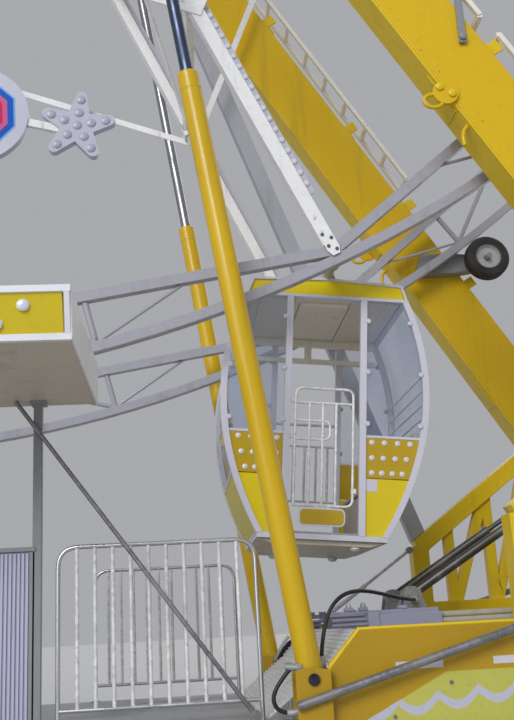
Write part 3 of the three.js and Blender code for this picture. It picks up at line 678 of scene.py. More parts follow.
# Tubes along the trailer's sides: round galvanised struts from the foot of each lift cylinder
# up towards the back, each held off its side panel by two pins.
FOOT_X, FOOT_Z, STRUT_RISE = 3.735, 1.192, 0.2739
strut_steel = galvanised("strut_steel", (0.24, 0.24, 0.26, 1), 0.7, 0.3)
struts = Form()
for out in (-1, 1):
    struts.tube([(FOOT_X, 1.545 * out, FOOT_Z), (8.0, 1.5 * out, 2.36)], 0.028, 20)
    for pin_x in (5.0, 6.35):
        pin_z = FOOT_Z + (pin_x - FOOT_X) * STRUT_RISE
        struts.pin(0.012, ((PANEL_FACE + 0.0004) * out, 1.58 * out), (pin_x, 0, pin_z), sides=10)
strut_piece = piece("side_struts", struts, strut_steel, "trailer", "galvanised_steel")
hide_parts("side_tube_front", "side_tube_back")


# Loading deck: aluminium tread plate with raised lozenges below the wheel, and a ramp of white
# ribbed plates between the lift cylinders, up to the machinery deck.
TREAD = (0.42, 0.43, 0.45, 1)
RIB_WHITE = (0.74, 0.74, 0.75, 1)
DECK_Z = 1.1005
RAMP_FOOT = (3.5605, DECK_Z)
RIB_STEP = 0.0335


def tread_plate():
    finish = Finish("tread_plate")
    x, y = finish.axis("X"), finish.axis("Y")
    first, second = (x + y) * 42.0, (x - y) * 42.0
    along = abs(first.maths("SINE", first)) * abs(second.maths("COSINE", second * 0.33))
    lozenge = along.above(0.72, 0.86) * abs(second.maths("SINE", second)).below(0.4, 0.6)
    worn = finish.noise(1.3, 5.0).above(0.4, 0.68)
    plated = finish.shaded(TREAD, 0.12, lozenge)
    finish.drive("Base Color", finish.mixed(worn * 0.5, plated, (0.2, 0.19, 0.175, 1)))
    finish.drive("Metallic", 0.85 - worn * 0.35)
    finish.drive("Roughness", 0.34 + worn * 0.3 - lozenge * 0.08)
    finish.bumped(lozenge, 0.002, 0.9)
    return finish.material


tread = tread_plate()
dress(["loading_deck"], tread, 0.004)
rib_paint = enamel("ramp_white", RIB_WHITE, 0.42, 0.7, coat=0.1)
ramp_sheets = Form()
ramp_sheets.plate([RAMP_FOOT, (3.9495, 1.3925), (3.9465, 1.3965), (3.5575, 1.1045)], (-1.275, 1.275))
ramp_sheets.plate([(3.9495, 1.3925), (4.1565, LID_Z), (4.1525, 1.6145), (3.9455, 1.3965)], (-1.39, 1.39))
piece("ramp_sheets", ramp_sheets, rib_paint, "trailer", "white_paint")


def ramp_ribs(name, start, end, half, count):
    """Round topped ribs across a slope, one step apart, from a little above the slope's foot."""
    way = (Vector((end[0], 0, end[1])) - Vector((start[0], 0, start[1]))).normalized()
    outline = [(0.005, 0.003), (0.008, 0.012), (0.016, 0.015), (0.024, 0.012), (0.027, 0.003)]
    place = [(start[0] + s * way.x - h * way.z, start[1] + s * way.z + h * way.x) for s, h in outline]
    rib = Form().plate(place, (-half, half))
    in_rows(name, rib, count, way * RIB_STEP, rib_paint, "trailer", "white_paint")


ramp_ribs("ramp_ribs_low", RAMP_FOOT, (3.9495, 1.3925), 1.272, 14)
ramp_ribs("ramp_ribs_high", *SLANT, 1.388, 9)


# Guard fences: bent stainless tube with rounded corners, thin upright bars, and a foot plate
# under each end post.
FENCE_Y, FENCE_TOP, FENCE_LOW = 1.32, 2.211, 1.231
BAR_GAP = 0.1176
BEND_STEPS = 6  # parts of the arc at a bend of a rail


def polished(name, colour=(0.62, 0.63, 0.65, 1), shine=0.2):
    """Drawn tube, handled bright: fine lines along it and dull, finger marked patches."""
    finish = Finish(name)
    lines = finish.noise(60.0, 2.0, finish.stretched((6.0, 6.0, 0.3)))
    dull = finish.noise(5.0, 4.0).above(0.45, 0.75)
    drawn = finish.shaded(colour, 0.1, lines)
    finish.drive("Base Color", finish.mixed(dull * 0.4, drawn, (0.4, 0.39, 0.37, 1)))
    finish.drive("Metallic", 0.95 - dull * 0.2)
    finish.drive("Roughness", shine + dull * 0.22 + lines * 0.05)
    finish.bumped(lines, 0.0003, 0.2)
    return finish.material


stainless = polished("stainless_tube")
bar_steel = galvanised("satin_bars", (0.74, 0.74, 0.77, 1), 0.2, 0.4)


def rounded(corners, radius):
    """A path through corners, each cut off by an arc of the given radius."""
    corners = [Vector(c) for c in corners]
    path = [corners[0]]
    for before, corner, after in zip(corners, corners[1:], corners[2:]):
        start = corner + (before - corner).normalized() * radius
        end = corner + (after - corner).normalized() * radius
        for i in range(BEND_STEPS + 1):
            t = i / BEND_STEPS
            path.append(start * (1 - t) ** 2 + corner * 2 * t * (1 - t) + end * t * t)
    return path + [corners[-1]]


for side_name, fence_y in (("front", -FENCE_Y), ("back", FENCE_Y)):
    for end_name, low_x, high_x in (("right", 2.294, 3.541), ("left", -3.541, -2.294)):
        fence = Form()
        hoop = [(low_x, DECK_Z), (low_x, FENCE_TOP), (high_x, FENCE_TOP), (high_x, DECK_Z)]
        fence.tube(rounded([(x, fence_y, z) for x, z in hoop], 0.13), 0.015, 14)
        fence.tube([(low_x, fence_y, FENCE_LOW), (high_x, fence_y, FENCE_LOW)], 0.013, 10)
        for foot_x in (low_x, high_x):
            fence.block((foot_x - 0.04, foot_x + 0.04), (fence_y - 0.035, fence_y + 0.035), (DECK_Z, 1.108))
        panel = piece(f"fence_tubes_{side_name}_{end_name}", fence, stainless, "trailer", "galvanised_steel")
        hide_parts(f"fence_{side_name}_{end_name}")
        bar_ends = [(low_x + BAR_GAP, fence_y, z) for z in (FENCE_LOW - 0.001, FENCE_TOP - 0.006)]
        bar = Form().tube(bar_ends, 0.0125, 10)
        in_rows(f"fence_bars_{side_name}_{end_name}", bar, 10, ((high_x - low_x - BAR_GAP * 2) / 9, 0, 0),
                bar_steel, "trailer", "galvanised_steel")


# Boarding steps: galvanised treads on folded stringers up to the loading deck, with a bent
# handrail on each side that stands on two round feet.
STEP_FOOT_Y, STEP_HEAD_Y = -2.86, -1.5
dress(["boarding_steps"], tread, 0.004)
rails = Form()
for rail_x in (-1.105, 1.105):
    hoop = [(STEP_FOOT_Y, 0.19), (STEP_FOOT_Y, 1.09), (STEP_HEAD_Y, 2.02), (STEP_HEAD_Y, 1.11)]
    rails.tube(rounded([(rail_x, y, z) for y, z in hoop], 0.12), 0.019, 14)
    rails.tube([(rail_x, STEP_FOOT_Y, 0.65), (rail_x, STEP_HEAD_Y, 1.58)], 0.014, 10)
    for foot_y, foot_z in ((STEP_FOOT_Y, 0.195), (STEP_HEAD_Y, 1.11)):
        rails.pin(0.045, (-0.01, 0), (rail_x, foot_y, foot_z), "Z", 16)
piece("step_handrails", rails, stainless, "trailer", "galvanised_steel")


# Entrance: a canopy with a sloping yellow fascia edged in white and dotted with lamp caps, on
# square posts, beside two counters clad in ribbed lavender sheet between grey edges.
FASCIA_YELLOW = (0.70, 0.55, 0.02, 1)
WHITE = (0.80, 0.81, 0.88, 1)
BEIGE_WITH_PAINTED_LIGHT = (0.66, 0.58, 0.48, 1)
LAVENDER = (0.42, 0.41, 0.56, 1)
fascia_paint = enamel("fascia_yellow", FASCIA_YELLOW, 0.35, 0.25)
white = enamel("white_enamel", WHITE, 0.36, 0.35, coat=0.2)
# The canopy lining is its own beige raised in tone. The extra is painted light on its underside, for light
# from below that no lamp here gives.
lining = enamel("beige_lining", BEIGE_WITH_PAINTED_LIGHT, 0.55, 0.5, coat=0.05)
sheet_paint = enamel("counter_lavender", LAVENDER, 0.4, 0.3, coat=0.15)
FRONT_Y, BACK_Y, LOW_Z, HIGH_Z = -2.86, -1.25, 3.14, 3.42
SLOPE = [(FRONT_Y + 0.095, LOW_Z + 0.03), (FRONT_Y + 0.012, HIGH_Z - 0.03)]
roof = Form().across([(FRONT_Y + 0.11, LOW_Z + 0.012), (FRONT_Y + 0.03, HIGH_Z - 0.02),
                      (BACK_Y - 0.004, HIGH_Z - 0.004), (BACK_Y - 0.004, LOW_Z + 0.012)], (-2.535, 2.535))
roof_piece = piece("canopy_roof", roof, lining, "trailer", "beige_lining", 0.006)
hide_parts("entrance_canopy")
fascia = Form().across(SLOPE + [(y + 0.02, z) for y, z in SLOPE[::-1]], (-2.5, 2.5))
piece("canopy_fascia", fascia, fascia_paint, "trailer", "yellow_paint", 0.004)
trims = Form()
for trim_y, trim_z in ((SLOPE[0][0] - 0.004, LOW_Z + 0.022), (SLOPE[1][0] + 0.0015, HIGH_Z - 0.02)):
    trims.block((-2.545, 2.545), (trim_y - 0.013, trim_y + 0.02), (trim_z - 0.02, trim_z + 0.018))
roof_end = [(FRONT_Y + 0.09, LOW_Z + 0.002), (FRONT_Y + 0.006, HIGH_Z - 0.004),
            (BACK_Y - 0.002, HIGH_Z - 0.001), (BACK_Y - 0.002, LOW_Z + 0.002)]
for out in (-1, 1):
    trims.across(roof_end, (2.536 * out, 2.548 * out))
    trims.bar(*((2.524 * out, y, z) for y, z in SLOPE), 0.03, 0.03, (1, 0, 0))
piece("canopy_trims", trims, white, "trailer", "white_paint", 0.003)


def lamp_caps():
    """Frosted lamp caps: glossy milky plastic with a slight haze."""
    finish = Finish("lamp_caps", Metallic=0.0, Coat_Roughness=0.05)
    haze = finish.noise(80.0, 2.0)
    finish.drive("Base Color", finish.shaded((0.68, 0.68, 0.75, 1), 0.07, haze))
    finish.drive("Roughness", 0.22 + haze * 0.14)
    finish.drive("Coat Weight", 0.4 + haze * 0.2)
    return finish.material


caps = lamp_caps()


def cap(centre, radius, out, sides=16, height=0.4):
    """A domed lamp cap in a collar, facing along out times Y."""
    rise = radius * height * out
    profile = [(0, 0), (radius, 0), (radius, rise * 0.35), (radius * 0.86, rise * 0.5),
               (radius * 0.8, rise * 0.75), (radius * 0.5, rise * 0.95), (0, rise)]
    return Form().turned(profile, centre, "Y", sides)


stud_rows = Form()
for offset, share in ((0.0, 0.3), (0.14, 0.7)):
    stud_y = SLOPE[0][0] + (SLOPE[1][0] - SLOPE[0][0]) * share
    stud_rows.join(cap((-2.32 + offset, stud_y, LOW_Z + 0.03 + 0.22 * share), 0.035, -1))
in_rows("canopy_studs", stud_rows, 17, (0.28, 0, 0), caps, "trailer", "stud_white")
POST_X, BRACE_Y, COUNTER_TOP = 2.173, -1.4225, 2.19
posts, braces, counters, counter_tops = Form(), Form(), Form(), Form()
for out in (-1, 1):
    post_x = POST_X * out
    posts.block((post_x - 0.028, post_x + 0.028), (-1.4, -1.344), (DECK_Z, LOW_Z + 0.02))
    posts.block((post_x - 0.06, post_x + 0.06), (-1.4, -1.3), (DECK_Z, 1.112))
    posts.block((post_x - 0.05, post_x + 0.05), (-1.42, -1.3), (LOW_Z - 0.01, LOW_Z + 0.012))
    brace_foot = (3.49 * out, BRACE_Y, 1.145)
    braces.tube([brace_foot, (2.035 * out, BRACE_Y, LOW_Z + 0.005)], 0.0145, 14)
    braces.pin(0.035, (-0.02, 0.02), brace_foot, sides=16)
    counters.block(sorted((1.1 * out, 2.15 * out)), (-1.388, -1.358), (1.112, COUNTER_TOP))
    counter_tops.block(sorted((1.085 * out, 2.165 * out)), (-1.41, -1.335), (COUNTER_TOP, 2.218))
    for edge_x in (1.105 * out, 2.145 * out):
        counter_tops.block((edge_x - 0.018, edge_x + 0.018), (-1.4, -1.345), (DECK_Z, COUNTER_TOP))
piece("canopy_posts", posts, grey, "trailer", "grey_paint", 0.004)
piece("canopy_braces", braces, strut_steel, "trailer", "grey_paint")
piece("counter_panels", counters, sheet_paint, "trailer", "counter_panel", 0.004)
# The ribs are the same lavender sheet as the counters in a lighter tone: a painted highlight on their faces.
rib_lavender_painted_highlight = enamel("rib_lavender_painted_highlight", (0.5, 0.49, 0.64, 1))
ribs = Form().block((1.106, 1.119), (-1.399, -1.385), (1.115, 2.18))
ribs.join(ribs.moved(x=-3.25))
in_rows("counter_ribs", ribs, 41, (0.0257, 0, 0), rib_lavender_painted_highlight, "trailer", "counter_panel")
piece("counter_tops", counter_tops, grey, "trailer", "grey_paint", 0.004)


# Base frames and masts: box girders of welded plate. The masts lean over the trailer and carry
# the hub between their heads. A flange runs down the lower edge of each, under a ladder, in a
# lighter yellow than the mast: painted light, for a lower face lit from below.
HUB_Z = 13.6
MAST_FOOT = Vector((4.658, 0, 6.054))
MAST_LEAN = math.radians(31.4)
MAST_Y, MAST_FACE = 1.375, 1.515
RUNG_STEP = 0.352
mast_way = Vector((-math.sin(MAST_LEAN), 0, math.cos(MAST_LEAN)))
mast_out = Vector((math.cos(MAST_LEAN), 0, math.sin(MAST_LEAN)))
dress(["base_frame_front", "base_frame_back"], bright_yellow, 0.008)
dress(["mast_front", "mast_back"], yellow, 0.01)
dress(["back_strut"], enamel("strut_grey", (0.42, 0.44, 0.50, 1)), 0.008)


def beside_mast(run, out, y):
    """A point by its run up the mast from MAST_FOOT, and its distance out from the lower edge."""
    return MAST_FOOT + mast_way * run + mast_out * out + Vector((0, y, 0))


def on_mast(height, out, y):
    """A point at a height on the mast's lower edge, moved out across its depth."""
    return beside_mast((height - MAST_FOOT.z) / mast_way.z, out, y)


# The flanges cover the masts' lower faces in the lighter yellow: painted light on faces lit from below.
flanges = Form()
for mast_y in (-MAST_Y, MAST_Y):
    flanges.bar(on_mast(1.75, -0.008, mast_y), on_mast(12.85, -0.008, mast_y), 0.018, 0.272)
    for plate_z in (3.6, 5.2, 7.6, 10.0):
        flanges.bar(on_mast(plate_z, -0.02, mast_y), on_mast(plate_z + 0.3, -0.02, mast_y), 0.012, 0.2)
piece("mast_flanges_painted_light", flanges, bright_yellow, "trailer", "yellow_paint", 0.004)
ladder_rails, tabs = Form(), Form()
ladder_white = enamel("ladder_white", (0.82, 0.80, 0.76, 1), 0.4, 0.2)


def ladder(name, mast_y, low, high, out, closer=0.0):
    """A ladder from one run to another up a mast, which comes closer to the mast towards its head."""
    for rail_y in (mast_y - 0.14, mast_y + 0.14):
        ladder_rails.bar(beside_mast(low, out, rail_y), beside_mast(high, out - closer, rail_y), 0.038, 0.04)
    for run, off in ((low, out), (high, out - closer)):
        ladder_rails.bar(*(beside_mast(run, off, mast_y + y) for y in (-0.15, 0.15)), 0.04, 0.04, (1, 0, 0))
    ends = [beside_mast(low + RUNG_STEP, out, mast_y + y) for y in (-0.13, 0.13)]
    step = mast_way * RUNG_STEP - mast_out * (closer * RUNG_STEP / (high - low))
    in_rows(f"ladder_rungs_{name}", Form().bar(*ends, 0.036, 0.036, (1, 0, 0)),
            round((high - low) / RUNG_STEP) - 1, step, ladder_white, "trailer", "white_paint")


ladder("near_low", -MAST_Y, -3.3, -0.68, 0.62)
ladder("near_high", -MAST_Y, -0.47, 7.9, 0.6, 0.06)
ladder("far_high", MAST_Y, -0.49, 7.9, 0.675, 0.06)
for run in (-1.74, -0.73, 0.3, 1.8, 3.3, 4.8, 6.3, 7.7):
    for tab_y in (-MAST_Y - 0.1, -MAST_Y + 0.1, MAST_Y - 0.1, MAST_Y + 0.1):
        tabs.bar(beside_mast(run, 0.40, tab_y), beside_mast(run, 0.6, tab_y), 0.1, 0.02)
piece("ladder_rails", ladder_rails, ladder_white, "trailer", "white_paint", 0.003)
piece("ladder_tabs", tabs, bright_yellow, "trailer", "yellow_paint", 0.003)
stay = Form().bar((5.254, -1.535, 5.72), (5.268, -1.535, 7.2), 0.055, 0.025)
stay.bar((5.268, -1.5, 7.16), (4.40, -1.5, 7.16), 0.06, 0.03)
stay.bolt((5.254, -1.55, 5.766), (0.03, 0.016), (0.015, 0.025), -1, sides=12)
piece("mast_stay", stay, grey, "trailer", "grey_paint", 0.003)


def circle(centre, radius, count):
    """Points round a centre, as (x, z)."""
    return [(centre.x + radius * math.cos(t), centre.z + radius * math.sin(t)) for t in turns(count)]


lugs, lug_bolts = Form(), Form()
lug_spot = beside_mast(-0.855, -0.027, 0)
hook_runs = ((-1.13, 0.0), (-1.15, -0.06), (-1.19, -0.10), (-1.25, -0.13))
for side in (-1, 1):
    face = MAST_FACE * side
    lugs.plate(circle(lug_spot, 0.095, 24), sorted((face, face + 0.03 * side)))
    eye = [lug_spot + Vector((-0.095 - 0.07 * math.cos(t), face + 0.014 * side, -0.065 + 0.052 * math.sin(t)))
           for t in turns(20)]
    lugs.tube(eye, 0.016, 8, closed=True)
    for bolt_x, bolt_z in ((-0.045, 0.04), (0.042, -0.014)):
        bolt_at = lug_spot + Vector((bolt_x, face + 0.03 * side, bolt_z))
        lug_bolts.bolt(bolt_at, (0.03, 0.014), (0.016, 0.022), side, sides=16)
    lugs.tube([beside_mast(run, out, face - 0.05 * side) for run, out in hook_runs], 0.017, 8)
    head = Vector((0, face, HUB_Z))
    boss = [(0, 0), (0.24, 0), (0.24, 0.02), (0.12, 0.03), (0.12, 0.055), (0, 0.06)]
    lugs.turned([(r, h * side) for r, h in boss], head, "Y", 40)
    lug_bolts.bolt_circle(head + Vector((0, 0.02 * side, 0)), 0.19, 10, (0.02, 0.014), (0.01, 0.02), side)
piece("mast_lugs", lugs, yellow, "trailer", "yellow_paint", 0.004)
piece("mast_bolts", lug_bolts, bright_yellow, "trailer", "yellow_paint")


# Folding rams between the deck and the base frames, pinned in clevises, with a thin bright ram
# beside the far one, and the tube that ties the two base frames together.
RAM_FOOT, RAM_HEAD = Vector((4.765, 0, 1.827)), Vector((6.29, 0, 2.727))
CHEEK = [(4.655, LID_Z), (4.895, LID_Z), (4.82, 1.87), (4.71, 1.87)]
THIN_Y = 1.25
rams, clevises = Form(), Form()
for ram_y in (-0.33, 0.33):
    foot, head = RAM_FOOT + Vector((0, ram_y, 0)), RAM_HEAD + Vector((0, ram_y, 0))
    rams.tube([foot, foot.lerp(head, 0.56)], 0.035, 24)
    rams.tube([foot.lerp(head, 0.55), head], 0.021, 20)
    clevises.pin(0.065, (-0.05, 0.05), foot, sides=28, bore=0.036)
    clevises.pin(0.0355, (-0.095, 0.095), foot)
    for cheek_y in (ram_y - 0.075, ram_y + 0.075):
        clevises.plate(CHEEK, (cheek_y - 0.01, cheek_y + 0.01))
    for nut_x in (4.66, 4.87):
        nut = [(0, 0), (0.022, 0), (0.022, 0.0295), (0, 0.0345)]
        clevises.turned(nut, (nut_x, ram_y - 0.12, LID_Z), "Z", 6)
    clevises.block((6.22, 6.36), (ram_y - 0.06, ram_y + 0.06), (2.6, 2.8))
thin_ram = Form().tube([(4.24, THIN_Y, 1.64), (4.73, THIN_Y, 1.966)], 0.02, 16)
thin_ram.tube([(4.72, THIN_Y, 1.96), (5.15, THIN_Y, 2.252)], 0.014, 12)
clevises.block((4.2, 4.28), (THIN_Y - 0.03, THIN_Y + 0.03), (LID_Z, 1.66))
clevises.pin(0.03, (-0.03, 0.04), (5.16, THIN_Y, 2.258), sides=16)
cross_tie = Form().tube([(RAM_HEAD.x, -1.2697, RAM_HEAD.z), (RAM_HEAD.x, 1.2697, RAM_HEAD.z)], 0.06, 24)
steel_bright = polished("ram_steel", (0.42, 0.42, 0.43, 1), 0.28)
steel_dark = polished("ram_dark", (0.16, 0.155, 0.15, 1), 0.3)
piece("folding_rams", rams, steel_dark, "trailer", "rod_steel")
piece("thin_ram", thin_ram, bar_steel, "trailer", "rod_steel")
piece("ram_clevises", clevises, strut_steel, "trailer", "galvanised_steel", 0.004)
piece("base_cross_tie", cross_tie, bright_yellow, "trailer", "yellow_paint")


# Lift cylinders: barrels sprayed yellow with a turned groove below the gland, each pinned at its
# foot in a bracket on the deck's edge, with a hard chromed rod pinned to the mast.
LIFT_FOOT = Vector((3.846, 0, 1.338))
BARREL_TOP = Vector((3.224, 0, 5.557))
LIFT_Y = 1.4
BARREL_R, GROOVE_R, ROD_R = 0.079, 0.076, 0.047
ROD_GAP = 0.1  # from the rod's eye to the line of the masts' lower edge
lift_way = (BARREL_TOP - LIFT_FOOT).normalized()
gland_run = (BARREL_TOP - LIFT_FOOT).length
rod_run = (MAST_FOOT - LIFT_FOOT).dot(mast_out) / lift_way.dot(mast_out) - ROD_GAP


def chrome(name, colour, tone):
    finish = Finish(name, Metallic=1.0)
    film = finish.noise(3.0, 5.0, finish.stretched((4.0, 4.0, 0.8))).above(0.42, 0.72)
    # The given colour and tone are painted reflection, because chrome has no colour of its own.
    finish.drive("Base Color", finish.mixed(film * 0.5, colour, tone))
    finish.drive("Roughness", 0.26 + film * 0.2)
    return finish.material


def lean_turned(form, profile, start, way, across, sides):
    """A (radius, run) profile turned on a leaning line from start. The first corner lies across it."""
    other = way.cross(across)
    ways = [across * math.cos(t) + other * math.sin(t) for t in turns(sides)]
    return form.skin([[start + way * run + out * r for out in ways] for r, run in profile])


bracket_gold = enamel("bracket_gold", PANEL_YELLOW)
dark_pin = polished("dark_pin", (0.035, 0.035, 0.06, 1), 0.3)
barrel_paint = enamel("barrel_yellow", (0.66, 0.43, 0.008, 1), 0.28, 0.3, coat=0.3)
barrel_section = [(0, -0.085), (0.045, -0.08), (GROOVE_R, -0.03), (BARREL_R, 0.0),
                  (BARREL_R, gland_run - 0.16), (GROOVE_R, gland_run - 0.155),
                  (GROOVE_R, gland_run - 0.145), (BARREL_R, gland_run - 0.14),
                  (BARREL_R, gland_run - 0.012), (0.071, gland_run), (0, gland_run)]
rod_section = [(0, gland_run + 0.0003), (0.056, gland_run + 0.0003), (0.056, gland_run + 0.02),
               (ROD_R, gland_run + 0.025), (ROD_R, rod_run), (0, rod_run)]
ear = [mast_out * 0.1035 - mast_way * 0.16, mast_out * -0.09, mast_out * 0.1035 + mast_way * 0.16]
foot_cheek = [(3.736, DECK_Z), (3.906, DECK_Z), (3.906, 1.36), (3.885, 1.395), (3.79, 1.405), (3.736, 1.39)]
side_plate = [(3.738, 0.955), (3.952, 0.955), (3.952, 1.392), (3.9, 1.4), (3.79, 1.405), (3.738, 1.39)]
# Both rods are the same hard chrome. The dark blue of the near one and the pale grey of the far one are
# painted reflection.
chrome_painted_dark_reflection = chrome("rod_chrome_painted_reflection_front", (0.10, 0.125, 0.19, 1), (0.035, 0.045, 0.075, 1))
chrome_painted_pale_reflection = chrome("rod_chrome_painted_reflection_back", (0.36, 0.365, 0.38, 1), (0.24, 0.245, 0.26, 1))
for side_name, side, rod_chrome in (("front", -1, chrome_painted_dark_reflection), ("back", 1, chrome_painted_pale_reflection)):
    lift_y = LIFT_Y * side
    start = LIFT_FOOT + Vector((0, lift_y, 0))
    tip = start + lift_way * rod_run
    barrel = lean_turned(Form(), barrel_section, start, lift_way, Vector((0, 1, 0)), 48)
    barrel_piece = piece(f"lift_barrel_{side_name}", barrel, barrel_paint, "trailer", "yellow_paint",
                         smooth=30)
    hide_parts(f"lift_cylinder_{side_name}")
    rod = lean_turned(Form(), rod_section, start, lift_way, Vector((0, 1, 0)), 40)
    rod_piece = piece(f"lift_rod_chrome_{side_name}", rod, rod_chrome, "trailer", "rod_steel")
    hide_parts(f"lift_rod_{side_name}")
    bracket = Form().pin(0.075, (-0.07, 0.07), tip, sides=32)
    for ear_y in (lift_y - 0.09, lift_y + 0.09):
        bracket.plate([(tip.x + p.x, tip.z + p.z) for p in ear], (ear_y - 0.011, ear_y + 0.011))
    for cheek_y in (lift_y - 0.1, lift_y + 0.1):
        bracket.plate(foot_cheek, (cheek_y - 0.009, cheek_y + 0.009))
    bracket.block((3.736, 3.906), (lift_y - 0.109, lift_y + 0.109), (DECK_Z, 1.13))
    bracket.plate(side_plate, sorted((1.5095 * side, 1.5135 * side)))
    bracket.block((3.946, 3.952), sorted((1.4305 * side, 1.5155 * side)), (0.955, 1.392))
    bracket.pin(0.04, (-0.118, 0.118), start, sides=28)
    piece(f"lift_brackets_{side_name}", bracket, bracket_gold, "trailer", "yellow_paint", 0.003)
    cap_nut = [(0, 0.118), (0.037, 0.118), (0.035, 0.132), (0, 0.134)]
    nuts = Form().turned([(r, h * side) for r, h in cap_nut], start, "Y", 24)
    nuts.pin(0.03, (0.07 * side, 0.115 * side), tip)
    piece(f"lift_pins_{side_name}", nuts, dark_pin, "trailer", "rod_steel", 0.002)


# Pipes at the far cylinder's foot: a rigid black feed pipe and a thin bright one beside it, both
# bent steel, from the housing down to the bracket.
feed, bright = Form(), Form()
feed.tube([(4.06, 1.3, 1.52), (4.008, 1.34, 1.484), (3.92, 1.34, 1.38), (3.86, 1.34, 1.31)], 0.03, 16)
bright.tube([(4.0, 1.25, 1.56), (3.95, 1.25, 1.503), (3.867, 1.27, 1.364), (3.84, 1.31, 1.34)], 0.014, 12)
piece("feed_pipe", feed, black_tyre, "trailer", "tyre_rubber")
piece("thin_pipe", bright, steel_bright, "trailer", "rod_steel")


# Hose ends: each hose is crimped into a plated ferrule with a hexagon nut, screwed into a block
# on what it feeds.
ferrules = Form()
for stops in HOSE_ROUTES.values():
    line = through(stops)
    for end, inward in ((line[0], line[2]), (line[-1], line[-3])):
        way = (inward - end).normalized()
        for radius, low, high, sides in ((0.022, -0.012, 0.063, 20), (0.028, -0.03, -0.008, 6)):
            sleeve = [(0, low), (radius, low), (radius, high), (0, high)]
            lean_turned(ferrules, sleeve, end, way, way.orthogonal().normalized(), sides)
for x, y, z in ((3.931, -1.295, 1.37), (3.765, -1.46, 1.412), (3.76, -1.46, 1.15)):
    ferrules.block((x - 0.018, x + 0.018), (y - 0.014, y + 0.014), (z - 0.03, z + 0.02))
piece("hose_ferrules", ferrules, zinc, "trailer", "galvanised_steel", 0.002)


# Hub: a twelve sided welded drum with bolted flanges, turning on a steel shaft between the
# heads of the masts, with bearing collars at both ends.
REST = math.radians(24.6)
BAY = math.radians(30)
AXIS = Vector((0, 0, HUB_Z))
dress(["hub"], bright_yellow, 0.01)
shaft = Form().pin(0.15, (-1.2345, 1.2345), AXIS, sides=48)
collar = both_walls([(0.14, -0.04), (0.2, -0.04), (0.21, -0.03)])
flange = [(0.17, 1.1), (0.405, 1.1), (0.405, 1.112), (0.39, 1.116), (0.24, 1.116), (0.235, 1.118),
          (0.17, 1.118)]
hub_rings, hub_bolt = Form(), Form()
for out in (-1, 1):
    shaft.turned(collar, AXIS + Vector((0, 1.16 * out, 0)), "Y", 48)
    hub_rings.turned([(r, h * out) for r, h in flange], AXIS, "Y", 48)
    hub_bolt.bolt(AXIS + Vector((0, 1.116 * out, -0.33)), (0.017, 0.01), (0.009, 0.016), out)
shaft_piece = piece("hub_axle", shaft, steel_bright, "trailer", "rod_steel")
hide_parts("hub_shaft")
piece("hub_flanges", hub_rings, white, "wheel", "white_paint", 0.002)
in_ring("hub_bolts", hub_bolt, 24, AXIS, 0.1, math.pi / 12, zinc, "wheel", "galvanised_steel")


# Spokes: square steel tubes sprayed white, one pair to each bay, joined across the wheel by
# cross tubes and thin diagonals. A strip of light modules runs along one side of each spoke.
SPOKE_WHITE = (0.86, 0.87, 0.90, 1)
LEVELS = (2.2, 4.1, 6.0, 7.85)
GUSSET_FACE = 1.0785
spoke_paint = enamel("spoke_white", SPOKE_WHITE, 0.34, 0.6, coat=0.2)
dress([f"spoke_frame_{k:02d}" for k in range(1, 13)], spoke_paint, 0.008)
dress(["ties_front", "ties_back"], spoke_paint, 0.003)


def each_bay(name, form, material, slot):
    """Repeats what one bay of the wheel holds in all twelve."""
    in_ring(name, form, 12, AXIS, -REST, -BAY, material, "wheel", slot)


brace = Form()
for low, high in zip(LEVELS, LEVELS[1:]):
    for out in (-1, 1):
        brace.tube([(0, 0.97 * out, HUB_Z - low - 0.03), (0, -0.97 * out, HUB_Z - high + 0.03)], 0.019, 8)
rim_gusset = [(-0.045, 10.06), (-0.05, 10.22), (-0.03, 10.27), (0.03, 10.27), (0.05, 10.22), (0.045, 10.06)]
hub_gusset = [(-0.055, 0.5), (-0.055, 0.95), (0.055, 0.95), (0.055, 0.5)]
bolt_spots = [(-0.026, 10.09), (0.024, 10.14), (-0.026, 10.19), (0.02, 10.235),
              (-0.03, 0.6), (0.03, 0.6), (-0.03, 0.85), (0.03, 0.85)]
gusset, gusset_bolt, strip, module = Form(), Form(), Form(), Form()
for out in (-1, 1):
    for outline in (rim_gusset, hub_gusset):
        gusset.plate([(x, HUB_Z - r) for x, r in outline], sorted((1.0704 * out, GUSSET_FACE * out)))
    for level_z in (HUB_Z - level for level in LEVELS):
        gusset.block((-0.075, 0.075), (out - 0.055, out + 0.055), (level_z - 0.09, level_z - 0.041))
    for bolt_x, radius in bolt_spots:
        gusset_bolt.bolt((bolt_x, GUSSET_FACE * out, HUB_Z - radius), (0.014, 0.008), (0.007, 0.013), out)
    for first, last in ((1.0, 5.3), (5.35, 9.75)):
        strip.block((0.056, 0.108), sorted((1.02 * out, 1.032 * out)), (HUB_Z - last, HUB_Z - first))
    dome = [(0, 0), (0.025, 0), (0.024, 0.008), (0.015, 0.015), (0, 0.016)]
    module.turned([(r, h * out) for r, h in dome], (0.083, 1.032 * out, HUB_Z - 1.06), "Y", 8)
each_bay("spoke_diagonals", brace, spoke_paint, "white_paint")
each_bay("spoke_gussets", gusset, spoke_paint, "white_paint")
each_bay("spoke_bolts", gusset_bolt, dark_zinc, "galvanised_steel")
each_bay("light_strips", strip, enamel("strip_lilac", (0.52, 0.52, 0.62, 1)), "white_paint")
one_spoke = in_rows("light_modules_one", module, 87, (0, 0, -0.1), caps, None, None)
lamps = Form().add([v.co for v in one_spoke.data.vertices],
                   [tuple(f.vertices) for f in one_spoke.data.polygons])
bpy.data.objects.remove(one_spoke)
each_bay("light_modules", lamps, caps, "stud_white")


